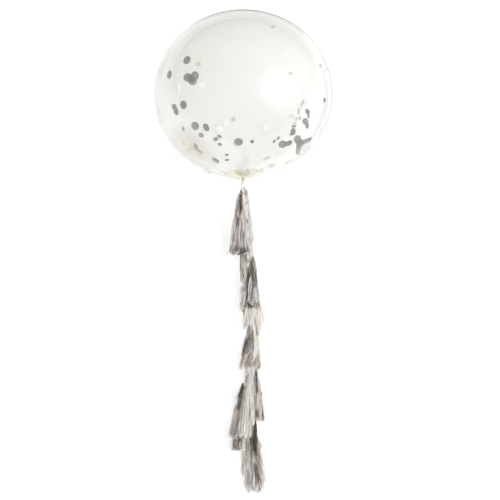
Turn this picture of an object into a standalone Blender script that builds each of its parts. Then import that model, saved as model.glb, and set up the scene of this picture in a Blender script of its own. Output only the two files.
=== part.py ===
"""A large clear balloon with a garland of paper tassels, laid on the ground.

Metres, +Z up. The origin is the middle of the flat spot on which the balloon rests. The balloon's
neck points down and out, and the garland runs from it along -Y.
"""

from dataclasses import dataclass
from math import asin, cos, floor, pi, radians, sin, sqrt

import bmesh
import bpy
import numpy as np
from mathutils import Vector

# The balloon: a 36 inch latex balloon, a little flatter along its neck than across
BALLOON_WIDTH = 0.914
BALLOON_LENGTH = 0.854
FLAT_SPOT_DEPTH = 0.005
NECK_DROP = radians(31)

# The flare where the round end turns out into the neck
FLARE_RADIUS = 0.077
FLARE_REACH = 0.054

# The neck, its knot and the rolled lip, with their places beyond the balloon's round end
NECK_RADIUS = 0.007
NECK_PLACE = 0.006
NECK_LEAD = 0.0084
KNOT_RADIUS = 0.010
KNOT_LENGTH = 0.016
KNOT_CORE_RADIUS = 0.0063
KNOT_PLACE = 0.018
LIP_RADIUS = 0.0125
LIP_THICKNESS = 0.007
LIP_PLACE = 0.030

# The twine, and the air between pieces that lie on each other
TWINE_DIAMETER = 0.002
GAP = 0.0006

# The tassels: a loop round the twine, a twisted neck and a skirt of strips with a ragged hem
LOOP_RADIUS = 0.0055
LOOP_CLEARANCE = 0.0012
LOOP_LENGTH = 0.009
TWIST_RADIUS = 0.0055
TWIST_LENGTH = 0.040
TASSEL_LENGTH = 0.32
SKIRT_WIDTH = 0.104
SKIRT_THICKNESS = 0.019
HEM_RAGGEDNESS = 0.034
BEND_LENGTH = 0.027
BORE_LENGTH = 0.027

# The tassels' carving, in shares: how soon the skirt opens and where it is fullest, how deep its
# flutes are, how far its strips differ and how blunt they end
SKIRT_OPENING = 0.75
SKIRT_FULLNESS = 0.62
FLUTE_AT_TWIST = 0.10
FLUTE_AT_HEM = 0.20
STRIP_SHORTEST = 0.30
STRIP_ORDER = 2.4
STRIP_BLUNTNESS = 0.45

# The loop's sections from its far side to the bend, as (place, fullness) in shares of its radius
LOOP_SECTIONS = ((-1.0, 0.55), (-0.45, 0.95), (0.45, 1.0), (1.0, 0.85))
LOOP_TILT = radians(53)
BEND_FULLNESS = 0.85
TWIST_MIDDLE = 0.65

# How finely the round and the fluted shapes are cut into faces
BALLOON_SIDES = 36
BALLOON_RINGS = 21
FLARE_RINGS = 4
BULGE_RINGS = 4
SKIRT_FLUTES = 7
SKIRT_RINGS = 7
TWINE_POINTS = 66
BORE_SIDES = 8
GROUND_CELL = 0.004
CURVE_STEPS = 12
EASING = 3
SHARP_ANGLE = radians(40)

NECK_AXIS = Vector((0.0, -cos(NECK_DROP), -sin(NECK_DROP)))
ACROSS = Vector((1.0, 0.0, 0.0))
UP = Vector((0.0, 0.0, 1.0))

# The twine's route, from its knot on the balloon's neck down to the ground and along it. It
# rises a little where each tassel's loop lies under it.
TWINE_ROUTE = (
    (0.000, -0.3900, 0.2120),
    (0.000, -0.4020, 0.1950),
    (0.001, -0.4200, 0.1745),
    (0.002, -0.4450, 0.1500),
    (0.003, -0.4750, 0.1235),
    (0.006, -0.5100, 0.0965),
    (0.010, -0.5500, 0.0715),
    (0.016, -0.6000, 0.0480),
    (0.022, -0.6500, 0.0295),
    (0.028, -0.7000, 0.0160),
    (0.033, -0.7420, 0.0085),
    (0.036, -0.7900, 0.0040),
    (0.035, -0.8500, 0.0030),
    (0.032, -0.9000, 0.0072),
    (0.030, -0.9500, 0.0030),
    (0.030, -1.0200, 0.0020),
    (0.033, -1.0980, 0.0072),
    (0.037, -1.1600, 0.0025),
    (0.040, -1.2400, 0.0022),
    (0.041, -1.3300, 0.0072),
    (0.039, -1.3750, 0.0072),
    (0.034, -1.4220, 0.0072),
    (0.030, -1.4750, 0.0072),
    (0.029, -1.5600, 0.0025),
    (0.031, -1.6550, 0.0072),
    (0.030, -1.6920, 0.0072),
    (0.027, -1.7250, 0.0035),
)


@dataclass(frozen=True)
class Tassel:
    """One tassel: where its loop is on the twine, and where its skirt lies."""

    name: str
    paper: str
    station: float
    lean: float
    hem: float
    length: float
    width: float
    turn: float


# In laying order: the far end of the garland comes to the ground first. station is the loop's
# place along -Y. lean and hem say how far to +X of the loop the twist and the hem lie, as shares
# of SKIRT_WIDTH. length and width are shares of TASSEL_LENGTH and SKIRT_WIDTH, and turn sets
# which strips are long.
TASSELS = (
    Tassel("cream_tassel_5", "cream", 1.692, -0.12, -0.18, 0.88, 0.52, 1.3),
    Tassel("grey_tassel_7", "grey", 1.655, 0.18, 0.36, 1.03, 0.90, 0.4),
    Tassel("grey_tassel_6", "grey", 1.475, -0.16, -0.56, 0.95, 0.48, 2.1),
    Tassel("grey_tassel_5", "grey", 1.422, -0.16, -0.64, 0.97, 0.74, 0.9),
    Tassel("cream_tassel_4", "cream", 1.375, -0.14, -0.30, 1.09, 0.60, 1.7),
    Tassel("grey_tassel_4", "grey", 1.330, 0.20, 0.37, 0.95, 0.52, 2.6),
    Tassel("grey_tassel_3", "grey", 1.098, 0.12, 0.06, 0.88, 1.00, 0.2),
    Tassel("cream_tassel_3", "cream", 0.900, -0.14, 0.04, 0.95, 1.00, 1.1),
    Tassel("grey_tassel_2", "grey", 0.742, 0.15, 0.06, 1.00, 0.88, 2.9),
    Tassel("cream_tassel_2", "cream", 0.600, -0.14, 0.05, 1.04, 0.76, 0.6),
    Tassel("cream_tassel_1", "cream", 0.420, 0.17, 0.24, 1.00, 0.50, 2.3),
    Tassel("grey_tassel_1", "grey", 0.442, -0.17, -0.22, 1.08, 0.96, 1.5),
)

# Each finish as its colour, roughness and metallic value
FINISHES = {
    "latex": ((0.86, 0.87, 0.85, 1.0), 0.15, 0.0),
    "twine": ((0.80, 0.78, 0.72, 1.0), 0.90, 0.0),
    "grey": ((0.22, 0.20, 0.18, 1.0), 0.45, 0.4),
    "cream": ((0.82, 0.79, 0.72, 1.0), 0.80, 0.0),
}


def material(finish):
    """The material of one finish, made once."""
    found = bpy.data.materials.get(finish)
    if found:
        return found
    made = bpy.data.materials.new(finish)
    made.use_nodes = True
    colour, roughness, metallic = FINISHES[finish]
    shader = made.node_tree.nodes["Principled BSDF"]
    shader.inputs["Base Color"].default_value = colour
    shader.inputs["Roughness"].default_value = roughness
    shader.inputs["Metallic"].default_value = metallic
    return made


def add_object(name, data, finish):
    """Puts a mesh or a curve in the scene under its name, in its finish."""
    data.materials.append(material(finish))
    made = bpy.data.objects.new(name, data)
    bpy.context.scene.collection.objects.link(made)
    return made


def add_mesh(name, bm, finish):
    """Makes an object of a closed bmesh, with its faces turned out."""
    bmesh.ops.recalc_face_normals(bm, faces=bm.faces[:])
    mesh = bpy.data.meshes.new(name)
    bm.to_mesh(mesh)
    bm.free()
    mesh.shade_smooth()
    mesh.set_sharp_from_angle(angle=SHARP_ANGLE)
    return add_object(name, mesh, finish)


def skin(bm, rings):
    """Joins rings by faces and returns their vertices. A ring of one point closes an end."""
    made = [[bm.verts.new(point) for point in ring] for ring in rings]
    for low, high in zip(made, made[1:]):
        sides = max(len(low), len(high))
        for i in range(sides):
            after = (i + 1) % sides
            corners = (
                low[i % len(low)],
                low[after % len(low)],
                high[after % len(high)],
                high[i % len(high)],
            )
            bm.faces.new(dict.fromkeys(corners))
    return made


def smooth_curve(points, steps):
    """Points on a smooth curve through the given ones, with steps to each stretch."""
    through = [Vector(point) for point in points]
    padded = [2 * through[0] - through[1], *through, 2 * through[-1] - through[-2]]
    curve = []
    for a, b, c, d in zip(padded, padded[1:], padded[2:], padded[3:]):
        for step in range(steps):
            t = step / steps
            bend = (2 * a - 5 * b + 4 * c - d) * t**2 + (3 * b - a - 3 * c + d) * t**3
            curve.append(b + 0.5 * ((c - a) * t + bend))
    curve.append(through[-1])
    return curve


def run_of(curve):
    """How far along the curve each of its points is."""
    steps = [(after - before).length for before, after in zip(curve, curve[1:])]
    return np.cumsum([0.0, *steps])


def along(curve, places):
    """The curve's points at these distances from its start."""
    run = run_of(curve)
    columns = [np.interp(places, run, [point[axis] for point in curve]) for axis in range(3)]
    return [Vector(point) for point in zip(*columns)]


def smooth_step(t):
    """0 to 1 with a soft start and end, as t goes from 0 to 1."""
    t = min(max(t, 0.0), 1.0)
    return t * t * (3 - 2 * t)


# The balloon


def balloon_centre():
    """The middle of the balloon, as it rests on its flat spot at the origin."""
    across, half = BALLOON_WIDTH / 2, BALLOON_LENGTH / 2
    flatter = half**2 - across**2
    height = sqrt(across**2 + flatter * NECK_AXIS.z**2)
    return Vector((0.0, flatter * NECK_AXIS.y * NECK_AXIS.z / height, height - FLAT_SPOT_DEPTH))


def bulge(place, radius, half_length, core):
    """(place along the neck's axis, radius) over a round swelling of the neck."""
    rise = radius - core
    angles = [pi * i / BULGE_RINGS - pi / 2 for i in range(BULGE_RINGS + 1)]
    return [(place + half_length * sin(angle), core + rise * cos(angle)) for angle in angles]


def balloon_profile():
    """(place along the neck's axis from the middle, radius) from the crown to the lip."""
    across, half = BALLOON_WIDTH / 2, BALLOON_LENGTH / 2
    sweep = pi - asin(FLARE_RADIUS / across)
    angles = [sweep * i / BALLOON_RINGS - pi / 2 for i in range(BALLOON_RINGS + 1)]
    profile = [(half * sin(angle), across * cos(angle)) for angle in angles]
    start = Vector(profile[-1])
    lead = (start - Vector(profile[-2])).normalized()
    end = Vector((half + NECK_PLACE, NECK_RADIUS))
    controls = (start, start + lead * FLARE_REACH, end - Vector((NECK_LEAD, 0.0)), end)
    for i in range(1, FLARE_RINGS + 1):
        t = i / FLARE_RINGS
        weights = ((1 - t) ** 3, 3 * t * (1 - t) ** 2, 3 * t**2 * (1 - t), t**3)
        profile.append(tuple(sum((w * p for w, p in zip(weights, controls)), Vector((0.0, 0.0)))))
    profile += bulge(half + KNOT_PLACE, KNOT_RADIUS, KNOT_LENGTH / 2, KNOT_CORE_RADIUS)
    lip_core = LIP_RADIUS - LIP_THICKNESS / 2
    profile += bulge(half + LIP_PLACE, LIP_RADIUS, LIP_THICKNESS / 2, lip_core)
    return profile


def make_balloon():
    """The sealed balloon with its neck, knot and lip, turned about the neck's axis."""
    centre = balloon_centre()
    side = NECK_AXIS.cross(ACROSS)
    rings = []
    profile = balloon_profile()
    for place, radius in profile[1:]:
        middle = centre + NECK_AXIS * place
        angles = [2 * pi * i / BALLOON_SIDES for i in range(BALLOON_SIDES)]
        rings.append([middle + (ACROSS * cos(a) + side * sin(a)) * radius for a in angles])
    crown = centre + NECK_AXIS * profile[0][0]
    mouth = centre + NECK_AXIS * (profile[-1][0] - LIP_THICKNESS / 2)
    bm = bmesh.new()
    skin(bm, [[crown], *rings, [mouth]])
    everything = bm.verts[:] + bm.edges[:] + bm.faces[:]
    cut = bmesh.ops.bisect_plane(bm, geom=everything, plane_co=(0, 0, 0), plane_no=UP, clear_inner=True)
    rim = [item for item in cut["geom_cut"] if isinstance(item, bmesh.types.BMEdge)]
    bmesh.ops.contextual_create(bm, geom=rim)
    return add_mesh("balloon", bm, "latex")


# The twine


def twine_path():
    """The points of the twine, at even distances."""
    curve = smooth_curve(TWINE_ROUTE, CURVE_STEPS)
    return along(curve, np.linspace(0.0, run_of(curve)[-1], TWINE_POINTS))


def make_twine(path):
    """The twine as a round cord with closed ends."""
    data = bpy.data.curves.new("garland_twine", "CURVE")
    data.dimensions = "3D"
    data.bevel_depth = TWINE_DIAMETER / 2
    data.bevel_resolution = 2
    data.use_fill_caps = True
    spline = data.splines.new("POLY")
    spline.points.add(len(path) - 1)
    for point, place in zip(spline.points, path):
        point.co = (*place, 1.0)
    return add_object("garland_twine", data, "twine")


# The ground and what already lies on it


class Ground:
    """How high things reach over each small square of the ground."""

    def __init__(self):
        """Bare ground."""
        self.tops = {}

    def squares(self, points, margin):
        """The squares under the box round these points, widened by a margin."""
        spans = []
        for axis in (0, 1):
            values = [point[axis] for point in points]
            first = floor((min(values) - margin) / GROUND_CELL)
            last = floor((max(values) + margin) / GROUND_CELL)
            spans.append(range(first, last + 1))
        return [(i, j) for i in spans[0] for j in spans[1]]

    def lay(self, points, margin, top):
        """Covers the ground under these points up to this height."""
        for square in self.squares(points, margin):
            self.tops[square] = max(self.tops.get(square, 0.0), top)

    def reach(self, points, margin):
        """The greatest height under these points."""
        return max(self.tops.get(square, 0.0) for square in self.squares(points, margin))


def lay_twine(ground, path):
    """Covers a band of ground along the twine, on which skirts lie without touching it."""
    band = ACROSS * SKIRT_WIDTH / 4
    run = run_of(path)
    for place in along(path, np.arange(0.0, run[-1], GROUND_CELL / 2)):
        ground.lay((place - band, place + band), 0.0, place.z + TWINE_DIAMETER / 2)


def height_over(path, y):
    """How high the twine is where it passes this y."""
    return float(np.interp(-y, [-point.y for point in path], [point.z for point in path]))


# The tassels


def skirt_share(run, length):
    """How far the skirt has opened at this distance from the loop, from 0 to 1."""
    opened = (run - TWIST_LENGTH) / (length - TWIST_LENGTH)
    return max(opened, 0.0) ** SKIRT_OPENING


def half_width(tassel, run, length):
    """Half the tassel's width at this distance from its loop."""
    skirt = tassel.width * SKIRT_WIDTH / 2
    return TWIST_RADIUS + (skirt - TWIST_RADIUS) * skirt_share(run, length)


def half_thickness(run, length):
    """Half the tassel's thickness at this distance from its loop: fullest past the middle."""
    fullness = sin(pi * min(skirt_share(run, length) * SKIRT_FULLNESS, 1.0))
    return TWIST_RADIUS + (SKIRT_THICKNESS / 2 - TWIST_RADIUS) * fullness


def eased(heights, reach):
    """The heights with their steps rounded off, nowhere lower than they were."""
    crest, soft = [], []
    for i in range(len(heights)):
        crest.append(max(heights[max(i - reach, 0) : i + reach + 1]))
    for i in range(len(heights)):
        window = crest[max(i - reach, 0) : i + reach + 1]
        soft.append(sum(window) / len(window))
    return soft


def spine_of(tassel, loop, length, path, ground):
    """The line through the middle of the tassel, on the ground and on what lies there already.

    It follows the twine's own slope, and its steps over other pieces are eased. How wide and
    thick the tassel is depends on the way along this line, so a first line gives the distances
    and a second one the heights.
    """
    step = 2 * GROUND_CELL
    runs = [step * i for i in range(floor(length / step) + 2)]
    slope = [height_over(path, loop.y - step * i) for i in range(len(runs))]
    spine = []
    for _ in range(2):
        plan, bases = [], []
        for i, run in enumerate(runs):
            lean = tassel.lean * smooth_step(run / BEND_LENGTH)
            swing = (tassel.hem - tassel.lean) * smooth_step(run / length)
            place = Vector((loop.x + (lean + swing) * SKIRT_WIDTH, loop.y - step * i, 0.0))
            edge = ACROSS * half_width(tassel, run, length)
            plan.append(place)
            bases.append(ground.reach((place - edge, place + edge), GROUND_CELL) + GAP)
        steps = eased([base - low for base, low in zip(bases, slope)], EASING)
        spine = []
        for place, above, low, run in zip(plan, steps, slope, runs):
            spine.append(place + UP * (low + above + half_thickness(run, length)))
        runs = list(run_of(spine))
    return spine


def ring(middle, side, over, half_sizes, flute, sides):
    """One fluted section of a tassel, flat below where the tassel lies."""
    wide, thick = half_sizes
    points = []
    for i in range(sides):
        angle = 2 * pi * (i + 0.5) / sides
        swell = 1 + flute * cos(SKIRT_FLUTES * angle)
        out = side * wide * swell * cos(angle)
        points.append(middle + out + over * max(thick * swell * sin(angle), -thick))
    return points


def loop_rings(tassel, loop, forward, sides):
    """The sections of the loop round the twine and of the bend into the twist."""
    outward = ACROSS if tassel.lean > 0 else -ACROSS
    away = outward * cos(LOOP_TILT) + UP * sin(LOOP_TILT)
    away = (away - forward * away.dot(forward)).normalized()
    side = forward.cross(away)
    rings = []
    for share, fullness in LOOP_SECTIONS:
        sizes = (LOOP_RADIUS * fullness, LOOP_LENGTH / 2 * fullness)
        rings.append(ring(loop + away * LOOP_RADIUS * share, side, -forward, sizes, 0.0, sides))
    over = (away - forward).normalized()
    bend = loop + away * LOOP_RADIUS + forward * TWIST_RADIUS + over * TWIST_RADIUS / 2
    sizes = (BEND_FULLNESS * TWIST_RADIUS, BEND_FULLNESS * TWIST_RADIUS)
    rings.append(ring(bend, side, over, sizes, 0.0, sides))
    return rings


def make_hem(bm, last, forward, tassel):
    """Ends the skirt in a ragged row of blunt strips, one for each flute. Returns their ends."""
    middle = bm.verts.new(sum((vert.co for vert in last), Vector()) / len(last))
    ends = []
    spread = (1 - STRIP_SHORTEST) / 2
    for i in range(SKIRT_FLUTES):
        root = [last[2 * i], last[2 * i + 1], last[(2 * i + 2) % len(last)], middle]
        centre = sum((vert.co for vert in root), Vector()) / len(root)
        long = HEM_RAGGEDNESS * (1 - spread + spread * sin(STRIP_ORDER * i + tassel.turn))
        tips = []
        for vert in root:
            tips.append(bm.verts.new(centre.lerp(vert.co, STRIP_BLUNTNESS) + forward * long))
        for j in range(len(root)):
            after = (j + 1) % len(root)
            bm.faces.new((root[j], root[after], tips[after], tips[j]))
        bm.faces.new(tips)
        ends += [tip.co.copy() for tip in tips]
    return ends


def bore(tassel, loop, forward):
    """The hidden cutter that opens the tassel's loop for the twine."""
    bm = bmesh.new()
    radius = TWINE_DIAMETER / 2 + LOOP_CLEARANCE
    bmesh.ops.create_cone(
        bm, cap_ends=True, segments=BORE_SIDES, radius1=radius, radius2=radius, depth=BORE_LENGTH
    )
    bmesh.ops.rotate(bm, verts=bm.verts[:], matrix=UP.rotation_difference(forward).to_matrix())
    bmesh.ops.translate(bm, verts=bm.verts[:], vec=loop)
    cutter = add_mesh("bore_of_" + tassel.name, bm, "twine")
    cutter.hide_render = True
    cutter.display_type = "WIRE"
    return cutter


def make_tassel(tassel, path, ground):
    """One tassel with its loop on the twine, laid on what is on the ground already."""
    sides = 2 * SKIRT_FLUTES
    past = next(i for i, point in enumerate(path) if point.y <= -tassel.station)
    before, after = path[past - 1], path[past]
    loop = before.lerp(after, (before.y + tassel.station) / (before.y - after.y))
    forward = (after - before).normalized()
    length = TASSEL_LENGTH * tassel.length
    spine = spine_of(tassel, loop, length, path, ground)
    rings = loop_rings(tassel, loop, forward, sides)
    first = LOOP_LENGTH + TWIST_RADIUS
    skirt = length - HEM_RAGGEDNESS - TWIST_LENGTH
    runs = [first, TWIST_LENGTH * TWIST_MIDDLE]
    runs += [TWIST_LENGTH + skirt * i / SKIRT_RINGS for i in range(SKIRT_RINGS + 1)]
    middles = along(spine, runs)
    ahead = along(spine, [run + GROUND_CELL for run in runs])
    heading = forward
    for run, middle, beyond in zip(runs, middles, ahead):
        heading = (beyond - middle).normalized()
        side = heading.cross(UP).normalized()
        over = side.cross(heading)
        sizes = (half_width(tassel, run, length), half_thickness(run, length))
        flute = FLUTE_AT_TWIST + (FLUTE_AT_HEM - FLUTE_AT_TWIST) * skirt_share(run, length)
        rings.append(ring(middle, side, over, sizes, flute, sides))
    bm = bmesh.new()
    start = sum((point for point in rings[0]), Vector()) / sides
    skinned = skin(bm, [[start], *rings])
    strips = make_hem(bm, skinned[-1], heading, tassel)
    for low, high in zip(rings, [*rings[1:], strips]):
        ground.lay(low + high, GROUND_CELL, max(point.z for point in low + high) + GAP)
    made = add_mesh(tassel.name, bm, tassel.paper)
    opening = made.modifiers.new("loop", "BOOLEAN")
    opening.operation = "DIFFERENCE"
    opening.object = bore(tassel, loop, forward)
    return made


def main():
    """Empties the scene and makes the balloon, the twine and the tassels."""
    for leftover in list(bpy.data.objects):
        bpy.data.objects.remove(leftover)
    make_balloon()
    path = twine_path()
    make_twine(path)
    ground = Ground()
    lay_twine(ground, path)
    for tassel in TASSELS:
        make_tassel(tassel, path, ground)


main()
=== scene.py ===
"""The looks of a large clear confetti balloon with a twine garland of paper tassels, laid down.

Metres, +Z up. The balloon rests on its flat spot at the origin with its neck towards -Y, and the
garland runs from the neck down to the floor and along -Y. Everything is built round the fixed
frame, whose solids give each piece its place.
"""

import logging
import random
from collections.abc import Callable
from dataclasses import dataclass, field
from enum import Enum
from math import asin, ceil, cos, exp, pi, radians, sin, sqrt

import bmesh
import bpy
import numpy as np
from bmesh.types import BMesh
from bpy.types import ID, Material, Mesh, Node, NodeSocket, NodeTree, Object
from mathutils import Matrix, Vector


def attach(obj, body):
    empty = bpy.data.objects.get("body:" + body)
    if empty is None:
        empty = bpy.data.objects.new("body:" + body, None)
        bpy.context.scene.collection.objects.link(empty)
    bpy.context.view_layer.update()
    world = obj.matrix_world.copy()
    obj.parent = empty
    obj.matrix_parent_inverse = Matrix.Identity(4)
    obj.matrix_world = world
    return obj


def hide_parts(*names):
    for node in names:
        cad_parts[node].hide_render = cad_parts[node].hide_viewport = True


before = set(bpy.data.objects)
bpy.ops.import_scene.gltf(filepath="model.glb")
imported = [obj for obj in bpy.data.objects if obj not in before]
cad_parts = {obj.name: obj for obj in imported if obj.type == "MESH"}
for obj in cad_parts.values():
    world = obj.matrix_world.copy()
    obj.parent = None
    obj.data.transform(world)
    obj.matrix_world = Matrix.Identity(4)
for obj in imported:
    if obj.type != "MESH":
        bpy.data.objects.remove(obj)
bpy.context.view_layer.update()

MM = 0.001
ACROSS = Vector((1.0, 0.0, 0.0))
UP = Vector((0.0, 0.0, 1.0))
DOWN_THE_GARLAND = Vector((0.0, -1.0, 0.0))
WHITE = (1.0, 1.0, 1.0, 1.0)

# Names and settings that many nodes share
NAMED = "GeometryNodeInputNamedAttribute"
RAMP = "ShaderNodeValToRGB"
SOFT = {"interpolation_type": "SMOOTHSTEP"}

log = logging.getLogger("balloon")


class Paper(Enum):
    """The papers that tassels and confetti are cut from."""

    GREY = "grey"
    CREAM = "cream"


# Small helpers


def linear(hex_colour: str) -> tuple[float, float, float, float]:
    """Turns an sRGB hex colour to linear RGBA.

    Args:
        hex_colour: Six hex digits, such as "968d88".

    Returns:
        The colour as four numbers from 0 to 1, with an alpha of 1.
    """
    values = [int(hex_colour[i : i + 2], 16) / 255 for i in (0, 2, 4)]
    bent = [v / 12.92 if v <= 0.04045 else ((v + 0.055) / 1.055) ** 2.4 for v in values]
    return (*bent, 1.0)


def feed(tree: NodeTree, node: Node, links: dict) -> None:
    """Sets or links inputs of a node.

    Args:
        tree: The tree that the node is in.
        node: The node.
        links: Values, or sockets to link from, by input name or number.
    """
    for name, value in links.items():
        if isinstance(value, NodeSocket):
            tree.links.new(value, node.inputs[name])
        else:
            node.inputs[name].default_value = value


def add_node(tree: NodeTree, kind: str, settings: dict | None = None, links: dict | None = None) -> Node:
    """Adds a node with its settings, and sets or links its inputs.

    Args:
        tree: The shader or geometry tree that gets the node.
        kind: The node's type name.
        settings: Properties of the node by name. A colour ramp's "stops" are pairs of a place
            from 0 to 1 and a colour, in hex digits or linear.
        links: Values, or sockets to link from, by input name or number.

    Returns:
        The node.
    """
    made = tree.nodes.new(kind)
    settings = dict(settings or {})
    for number, (place, colour) in enumerate(settings.pop("stops", ())):
        elements = made.color_ramp.elements
        stop = elements[number] if number < len(elements) else elements.new(1.0)
        stop.position = place
        stop.color = linear(colour) if isinstance(colour, str) else colour
    for name, value in settings.items():
        setattr(made, name, value)
    feed(tree, made, links or {})
    return made


def new_material(name: str) -> tuple[Material, NodeTree, Node]:
    """Makes a material with a Principled shader.

    Args:
        name: The material's name.

    Returns:
        The material, its tree and its Principled node.
    """
    material = bpy.data.materials.new(name)
    material.use_nodes = True
    tree = material.node_tree
    return material, tree, tree.nodes["Principled BSDF"]


def add_grain(
    tree: NodeTree,
    shader: Node,
    size: float,
    detail: float,
    depth: float = 0.0,
    strength: float = 1.0,
    stretch: tuple[float, float, float] = (1.0, 1.0, 1.0),
) -> NodeSocket:
    """Gives a material an uneven grain of a real size, and lets its surface follow it.

    Args:
        tree: The shader tree.
        shader: The Principled node.
        size: The grain's size in metres.
        detail: How many finer octaves it has.
        depth: How deep the surface follows it, or 0 to leave the surface smooth.
        strength: How strongly it does.
        stretch: How much denser the grain is along each axis.

    Returns:
        The socket of the grain, from 0 to 1.
    """
    place = add_node(tree, "ShaderNodeTexCoord").outputs["Object"]
    if stretch != (1.0, 1.0, 1.0):
        links = {"Vector": place, "Scale": stretch}
        place = add_node(tree, "ShaderNodeMapping", links=links).outputs["Vector"]
    links = {"Vector": place, "Scale": 1 / size, "Detail": detail}
    grain = add_node(tree, "ShaderNodeTexNoise", links=links).outputs["Fac"]
    if depth > 0:
        links = {"Height": grain, "Strength": strength, "Distance": depth}
        feed(tree, shader, {"Normal": add_node(tree, "ShaderNodeBump", links=links).outputs["Normal"]})
    return grain


def swung(tree: NodeTree, tone: NodeSocket, grain: NodeSocket, swing: float) -> NodeSocket:
    """Lets a tone swing a little to either side with a grain.

    Args:
        tree: The shader tree.
        tone: The socket that gives the tone.
        grain: The socket of the grain, from 0 to 1.
        swing: How far the tone swings.

    Returns:
        The socket of the new tone.
    """
    span = add_node(tree, "ShaderNodeMapRange", links={"Value": grain, "To Min": -swing, "To Max": swing})
    links = {0: tone, 1: span.outputs["Result"]}
    return add_node(tree, "ShaderNodeMath", {"operation": "ADD"}, links).outputs[0]


def add_object(name: str, data: ID) -> Object:
    """Puts data in the scene as an object at the origin.

    Args:
        name: The object's name.
        data: A mesh, curve, lamp or camera.

    Returns:
        The object.
    """
    made = bpy.data.objects.new(name, data)
    bpy.context.scene.collection.objects.link(made)
    return made


def mesh_of(name: str, bm: BMesh, sharp: float = radians(40)) -> Mesh:
    """Turns a bmesh to a smooth mesh with sharp edges where it bends hard.

    Args:
        name: The mesh's name.
        bm: The bmesh, which is freed.
        sharp: The angle past which an edge is sharp.

    Returns:
        The mesh.
    """
    mesh = bpy.data.meshes.new(name)
    bm.to_mesh(mesh)
    bm.free()
    mesh.shade_smooth()
    mesh.set_sharp_from_angle(angle=sharp)
    return mesh


def cover(bm: BMesh, rings: list[list], tips: tuple[Vector, ...] = ()) -> list:
    """Covers rings of vertices with faces that all turn the same way.

    Args:
        bm: The bmesh that gets the faces.
        rings: The rings, each with as many vertices as the next.
        tips: Where the first and the last ring close to a point, if they do.

    Returns:
        The faces.
    """
    faces = []
    for low, high in zip(rings, rings[1:]):
        faces += [bm.faces.new((low[i - 1], high[i - 1], high[i], low[i])) for i in range(len(low))]
    if tips:
        first, last = (bm.verts.new(tip) for tip in tips)
        for i in range(len(rings[0])):
            faces.append(bm.faces.new((first, rings[0][i - 1], rings[0][i])))
            faces.append(bm.faces.new((last, rings[-1][i], rings[-1][i - 1])))
    return faces


def smooth_curve(points: list, steps: int) -> list[Vector]:
    """Reads a smooth curve through points.

    Args:
        points: The points that it goes through.
        steps: How many points each stretch gets.

    Returns:
        Points along the curve.
    """
    through = [Vector(point) for point in points]
    padded = [2 * through[0] - through[1], *through, 2 * through[-1] - through[-2]]
    curve = []
    for a, b, c, d in zip(padded, padded[1:], padded[2:], padded[3:]):
        for step in range(steps):
            t = step / steps
            bend = (2 * a - 5 * b + 4 * c - d) * t**2 + (3 * b - a - 3 * c + d) * t**3
            curve.append(b + 0.5 * ((c - a) * t + bend))
    curve.append(through[-1])
    return curve


def run_of(curve: list[Vector]) -> np.ndarray:
    """Gives how far along the curve each of its points is.

    Args:
        curve: Points along a line.

    Returns:
        The distances from the first point.
    """
    steps = [(after - before).length for before, after in zip(curve, curve[1:])]
    return np.cumsum([0.0, *steps])


def along(curve: list[Vector], places: np.ndarray) -> list[Vector]:
    """Reads a curve at given distances from its start.

    Args:
        curve: Points along a line.
        places: Distances from its start.

    Returns:
        The points there.
    """
    run = run_of(curve)
    columns = [np.interp(places, run, [point[axis] for point in curve]) for axis in range(3)]
    return [Vector(point) for point in zip(*columns)]


def around(count: int) -> list[float]:
    """Gives even angles of one full turn."""
    return [2 * pi * i / count for i in range(count)]


def smooth_step(t: float) -> float:
    """Goes from 0 to 1 with a soft start and end."""
    t = min(max(t, 0.0), 1.0)
    return t * t * (3 - 2 * t)


# Geometry Nodes


@dataclass
class Guide:
    """Lines for a geometry tree to follow, with values at each of their points."""

    points: list[Vector] = field(default_factory=list)
    edges: list[tuple[int, int]] = field(default_factory=list)
    facing: list[Vector] = field(default_factory=list)
    values: dict[str, list[float]] = field(default_factory=dict)

    def line(self, points: list[Vector], facing: list[Vector], **values: list[float]) -> None:
        """Adds one line.

        Args:
            points: The line's points.
            facing: Which way a strip on the line looks at each point.
            **values: The named values at each point.
        """
        start = len(self.points)
        self.points += points
        self.facing += facing
        self.edges += [(start + i, start + i + 1) for i in range(len(points) - 1)]
        for name, numbers in values.items():
            self.values.setdefault(name, []).extend(numbers)

    def mesh(self, name: str) -> Mesh:
        """Turns the lines to a mesh of edges, with the values as attributes.

        Args:
            name: The mesh's name.

        Returns:
            The mesh.
        """
        mesh = bpy.data.meshes.new(name)
        mesh.from_pydata([tuple(point) for point in self.points], self.edges, [])
        facing = mesh.attributes.new("facing", "FLOAT_VECTOR", "POINT")
        facing.data.foreach_set("vector", np.array(self.facing, np.float32).ravel())
        for label, numbers in self.values.items():
            layer = mesh.attributes.new(label, "FLOAT", "POINT")
            layer.data.foreach_set("value", np.array(numbers, np.float32))
        return mesh


def new_tree(name: str, inputs: dict[str, str]) -> tuple[NodeTree, Node]:
    """Makes an empty geometry tree.

    Args:
        name: The tree's name.
        inputs: The socket type of each input by its name, beside the geometry.

    Returns:
        The tree and its input node.
    """
    tree = bpy.data.node_groups.new(name, "GeometryNodeTree")
    tree.interface.new_socket("Geometry", in_out="INPUT", socket_type="NodeSocketGeometry")
    for label, kind in inputs.items():
        tree.interface.new_socket(label, in_out="INPUT", socket_type=kind)
    tree.interface.new_socket("Geometry", in_out="OUTPUT", socket_type="NodeSocketGeometry")
    return tree, add_node(tree, "NodeGroupInput")


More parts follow.
